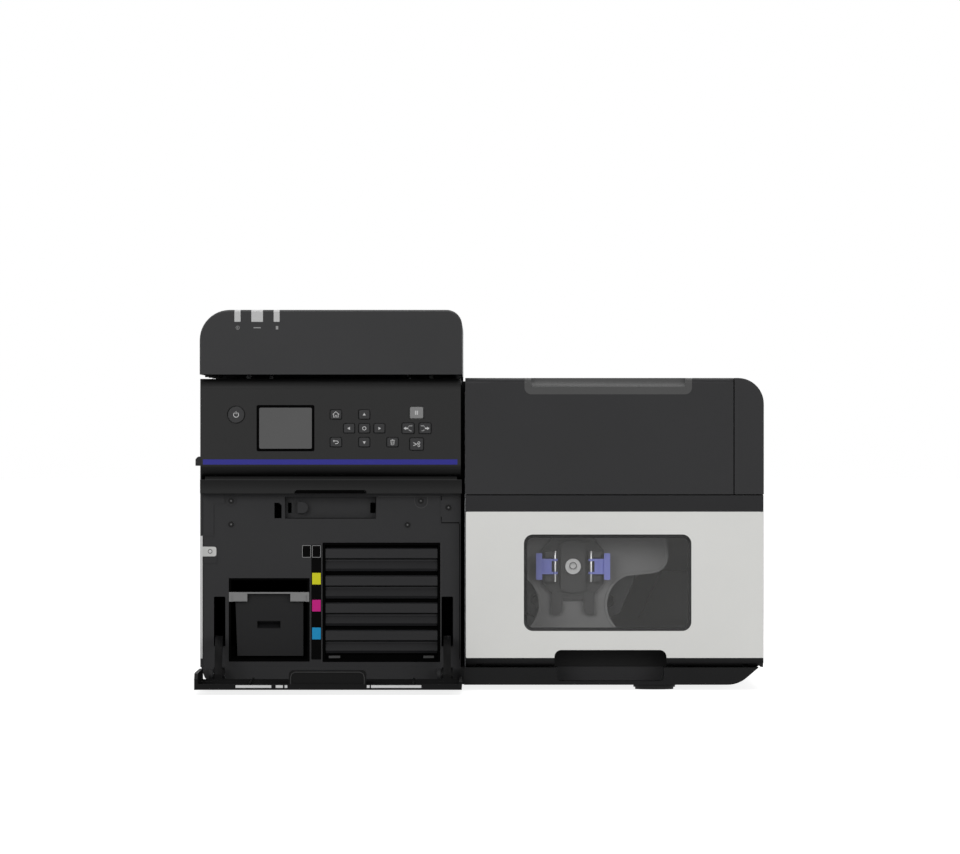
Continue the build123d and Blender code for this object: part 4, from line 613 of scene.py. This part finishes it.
def make_bay_seams_and_edge_highlights(materials):
    """Seams and the catch outline of the ink bay front drawn as dark lines, and painted highlights on its
    raised edges drawn as lighter lines, all fine lines on its face.
    """
    on_plate, on_face = BAY_PLATE - 0.02 * MM, BAY_FACE - 0.04 * MM
    boss_x, boss_row, boss_radius = 421.0, 501.8, 6.4
    boss = [(boss_x - boss_radius, 497.0), (boss_x - boss_radius, boss_row)]
    boss += arc(boss_x, boss_row, boss_radius, 180, 0, 10) + [(boss_x + boss_radius, 497.0)]
    # Lines in deep are seams and the catch outline; lines in dim are painted highlights on raised edges.
    lines = [("seam_corner", [(441.3, 517.0), (441.3, 522.9), (459.4, 522.9)], 0.9, on_plate, "deep"),
             ("seam_corner_top", [(441.3, 496.0), (441.3, 500.5)], 0.9, on_plate, "deep"),
             ("seam_side", [(459.6, 524.0), (459.6, 660.0)], 0.8, on_face, "deep"),
             ("bay_top_edge_highlight", [(378.0, 496.4), (440.3, 496.4)], 0.6, on_face, "dim"),
             ("screw_boss_edge_highlight", boss, 0.5, on_face, "dim"),
             ("catch_outline", [(284.8, 496.8), (284.8, 518.4), (375.6, 518.4), (375.6, 496.8)], 0.8,
              on_face, "deep")]
    lines += [("bay_rim_highlight_%d" % (number + 1), [(x, 543.0), (x, 663.0)], 0.5, on_face, "dim")
              for number, x in enumerate((321.6, 440.6))]
    for name, pixels, width, y, material in lines:
        points = [(photo_x(x), photo_z(row)) for x, row in pixels]
        plate_piece(name, ribbon(points, width * MM), y, 0.12 * MM, materials[material], "chassis")


def make_screw_painted_glints(materials):
    """A painted glint, dull grey, in the middle of each dark screw head of the ink bay."""
    for number, (x, z, y) in enumerate(screw_centres()):
        plate_piece("screw_painted_glint_%d" % (number + 1), [arc(x, z, 1.1 * MM, 0, 330, 11)], y - 0.1 * MM,
                    0.2 * MM, materials["painted_screw_glint"], "chassis")


def screw_centres():
    """Middles of the screw heads, from the loose parts of their mesh."""
    node = nodes["housing_screws"]
    mesh = bmesh.new()
    mesh.from_mesh(node.data)
    bmesh.ops.remove_doubles(mesh, verts=mesh.verts, dist=1e-6)
    left = set(mesh.verts)
    centres = []
    while left:
        group, edge = set(), [left.pop()]
        while edge:
            vertex = edge.pop()
            group.add(vertex)
            for link in vertex.link_edges:
                other = link.other_vert(vertex)
                if other in left:
                    left.remove(other)
                    edge.append(other)
        points = [node.matrix_world @ vertex.co for vertex in group]
        xs, ys, zs = zip(*points)
        centres.append(((min(xs) + max(xs)) / 2, (min(zs) + max(zs)) / 2, min(ys)))
    mesh.free()
    return sorted(centres)


def make_cover_painted_light(materials):
    """Painted light along the front lip of the folded ink cover, between its ribs, for the pale floor seen
    through its slits, and a painted highlight on the rim of its grip.
    """
    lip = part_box("ink_cover")[0].y
    nearer = (VIEW_DISTANCE + lip - FRONT) / VIEW_DISTANCE
    x_axis, z_axis = photo_x(VIEW_CENTRE[0]), photo_z(VIEW_CENTRE[1])

    def lip_x(pixel):
        return x_axis + (photo_x(pixel) - x_axis) * nearer

    def lip_z(pixel):
        return z_axis + (photo_z(pixel) - z_axis) * nearer

    # Light-grey strips painted where the pale floor shows through the slits of the lip.
    bars = ((235.5, 271.3), (275.7, 282.9), (284.6, 287.3), (366.8, 369.6), (371.0, 421.3))
    for number, (left, right) in enumerate(bars):
        bar = rectangle(lip_x(left), lip_x(right), lip_z(687.9), lip_z(685.2))
        plate_piece("cover_slit_light_%d" % (number + 1), [bar], lip - 0.1 * MM, 0.3 * MM, materials["bright"],
                    "ink_cover")
    # Painted highlight: a lighter line along the rim of the grip.
    rim = [(290.6, 689.0), (290.6, 677.0), (291.8, 673.8), (295.0, 672.2), (359.8, 672.2), (363.0, 673.8),
           (364.2, 677.0), (364.2, 689.0)]
    points = [(lip_x(x), lip_z(row)) for x, row in rim]
    plate_piece("hump_rim_painted_highlight", ribbon(points, 1.0 * MM), lip + 2.3 * MM, 0.3 * MM, materials["rim"], "ink_cover")


def make_hub_mark(materials):
    """Grey ring round the bore in the end of the spindle, painted shade standing for a ring groove."""
    low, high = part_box("spindle")
    hub_low, hub_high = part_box("hub_plate")
    x = (hub_low.x + hub_high.x) / 2
    z = (low.z + high.z) / 2
    plate_piece("spindle_groove_painted_shade", ring(x, z, 4.4 * MM, 1.0 * MM), low.y - PRINT / 2, PRINT,
                materials["tab_grey"], "spindle")


def make_display_frame(materials):
    """Black surround in the groove around the display."""
    low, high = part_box("display_glass")
    outlines = [rectangle(low.x - border, high.x + border, low.z - border, high.z + border, radius)
                for border, radius in ((3.1 * MM, 2.0 * MM), (0.05 * MM, 0.4 * MM))]
    plate_piece("display_surround", outlines, low.y + 0.9 * MM, 0.3 * MM, materials["deep"], "chassis")


# Camera, lights and floor

def make_camera():
    data = bpy.data.cameras.new("camera")
    data.sensor_width = SENSOR_WIDTH
    width = FRAME_PIXELS * PHOTO_SCALE
    data.lens = SENSOR_WIDTH * VIEW_DISTANCE / width
    data.clip_end = FAR_CLIP
    camera = bpy.data.objects.new("camera", data)
    bpy.context.scene.collection.objects.link(camera)
    camera.location = (photo_x(VIEW_CENTRE[0]), FRONT - VIEW_DISTANCE, photo_z(VIEW_CENTRE[1]))
    camera.rotation_euler = (math.radians(90), 0, 0)
    bpy.context.scene.camera = camera


def area_light(name, place, target, size, power):
    data = bpy.data.lights.new(name, "AREA")
    data.shape = "RECTANGLE"
    data.size, data.size_y = size
    data.energy = power
    lamp = bpy.data.objects.new(name, data)
    bpy.context.scene.collection.objects.link(lamp)
    lamp.location = place
    direction = Vector(target) - Vector(place)
    lamp.rotation_euler = direction.to_track_quat("-Z", "Y").to_euler()


def make_lights():
    middle = (0.0, 0.1, 0.22)
    area_light("key_light", (-1.3, -3.1, 1.0), middle, (1.5, 1.0), 32.0)
    area_light("fill_light", (1.5, -3.0, 0.7), middle, (1.5, 1.0), 25.0)
    area_light("top_light", (0.2, 0.2, 2.9), middle, (2.2, 2.2), 34.0)
    area_light("rear_light", (0.4, 3.0, 1.8), middle, (2.0, 1.4), 20.0)


def background_rays(tree):
    """1 where the camera, a mirror image or a see-through pane looks, 0 for the light on the object."""
    path = add_node(tree, "ShaderNodeLightPath")
    first = add_node(tree, "ShaderNodeMath", operation="MAXIMUM")
    second = add_node(tree, "ShaderNodeMath", operation="MAXIMUM")
    tree.links.new(path.outputs["Is Camera Ray"], first.inputs[0])
    tree.links.new(path.outputs["Is Glossy Ray"], first.inputs[1])
    tree.links.new(first.outputs["Value"], second.inputs[0])
    tree.links.new(path.outputs["Is Transmission Ray"], second.inputs[1])
    return second.outputs["Value"]


def make_world():
    """Even pale surroundings, white where the camera or a reflection looks past the object."""
    world = bpy.data.worlds.new("surroundings")
    bpy.context.scene.world = world
    world.use_nodes = True
    tree = world.node_tree
    lighting = tree.nodes["Background"]
    lighting.inputs["Color"].default_value = (1, 1, 1, 1)
    lighting.inputs["Strength"].default_value = 0.5
    seen = add_node(tree, "ShaderNodeBackground", Color=(1, 1, 1, 1), Strength=1.0)
    mix = add_node(tree, "ShaderNodeMixShader")
    tree.links.new(background_rays(tree), mix.inputs["Fac"])
    tree.links.new(lighting.outputs["Background"], mix.inputs[1])
    tree.links.new(seen.outputs["Background"], mix.inputs[2])
    tree.links.new(mix.outputs["Shader"], tree.nodes["World Output"].inputs["Surface"])


def make_floor():
    """Pale paper that looks white to the camera and keeps the object's shadow."""
    corners = [(-FLOOR_REACH, -FLOOR_REACH, 0), (FLOOR_REACH, -FLOOR_REACH, 0),
               (FLOOR_REACH, FLOOR_REACH, 0), (-FLOOR_REACH, FLOOR_REACH, 0)]
    mesh = bpy.data.meshes.new("floor")
    mesh.from_pydata(corners, [], [(0, 1, 2, 3)])
    floor = bpy.data.objects.new("floor", mesh)
    bpy.context.scene.collection.objects.link(floor)
    material, tree, shader = new_material("floor_paper")
    fibres = noise(tree, object_coordinates(tree), 400.0, 4.0)
    tree.links.new(ramp(tree, fibres, grey(0.34), grey(0.36)), shader.inputs["Base Color"])
    shader.inputs["Roughness"].default_value = 0.9
    shader.inputs["Specular IOR Level"].default_value = 0.1
    glow = add_node(tree, "ShaderNodeEmission", Strength=0.84)
    both = add_node(tree, "ShaderNodeAddShader")
    mix = add_node(tree, "ShaderNodeMixShader")
    tree.links.new(shader.outputs["BSDF"], both.inputs[0])
    tree.links.new(glow.outputs["Emission"], both.inputs[1])
    tree.links.new(background_rays(tree), mix.inputs["Fac"])
    tree.links.new(shader.outputs["BSDF"], mix.inputs[1])
    tree.links.new(both.outputs["Shader"], mix.inputs[2])
    tree.links.new(mix.outputs["Shader"], tree.nodes["Material Output"].inputs["Surface"])
    floor.data.materials.append(material)


bpy.context.scene.view_settings.view_transform = "Standard"
materials = make_materials()
dress_nodes(materials)
make_icons(materials)
make_status_marks(materials)
make_ink_labels(materials)
make_bay_trim(materials)
make_face_edges(materials)
make_bay_seams_and_edge_highlights(materials)
make_screw_painted_glints(materials)
make_cover_painted_light(materials)
make_hub_mark(materials)
make_display_frame(materials)
make_camera()
make_lights()
make_world()
make_floor()
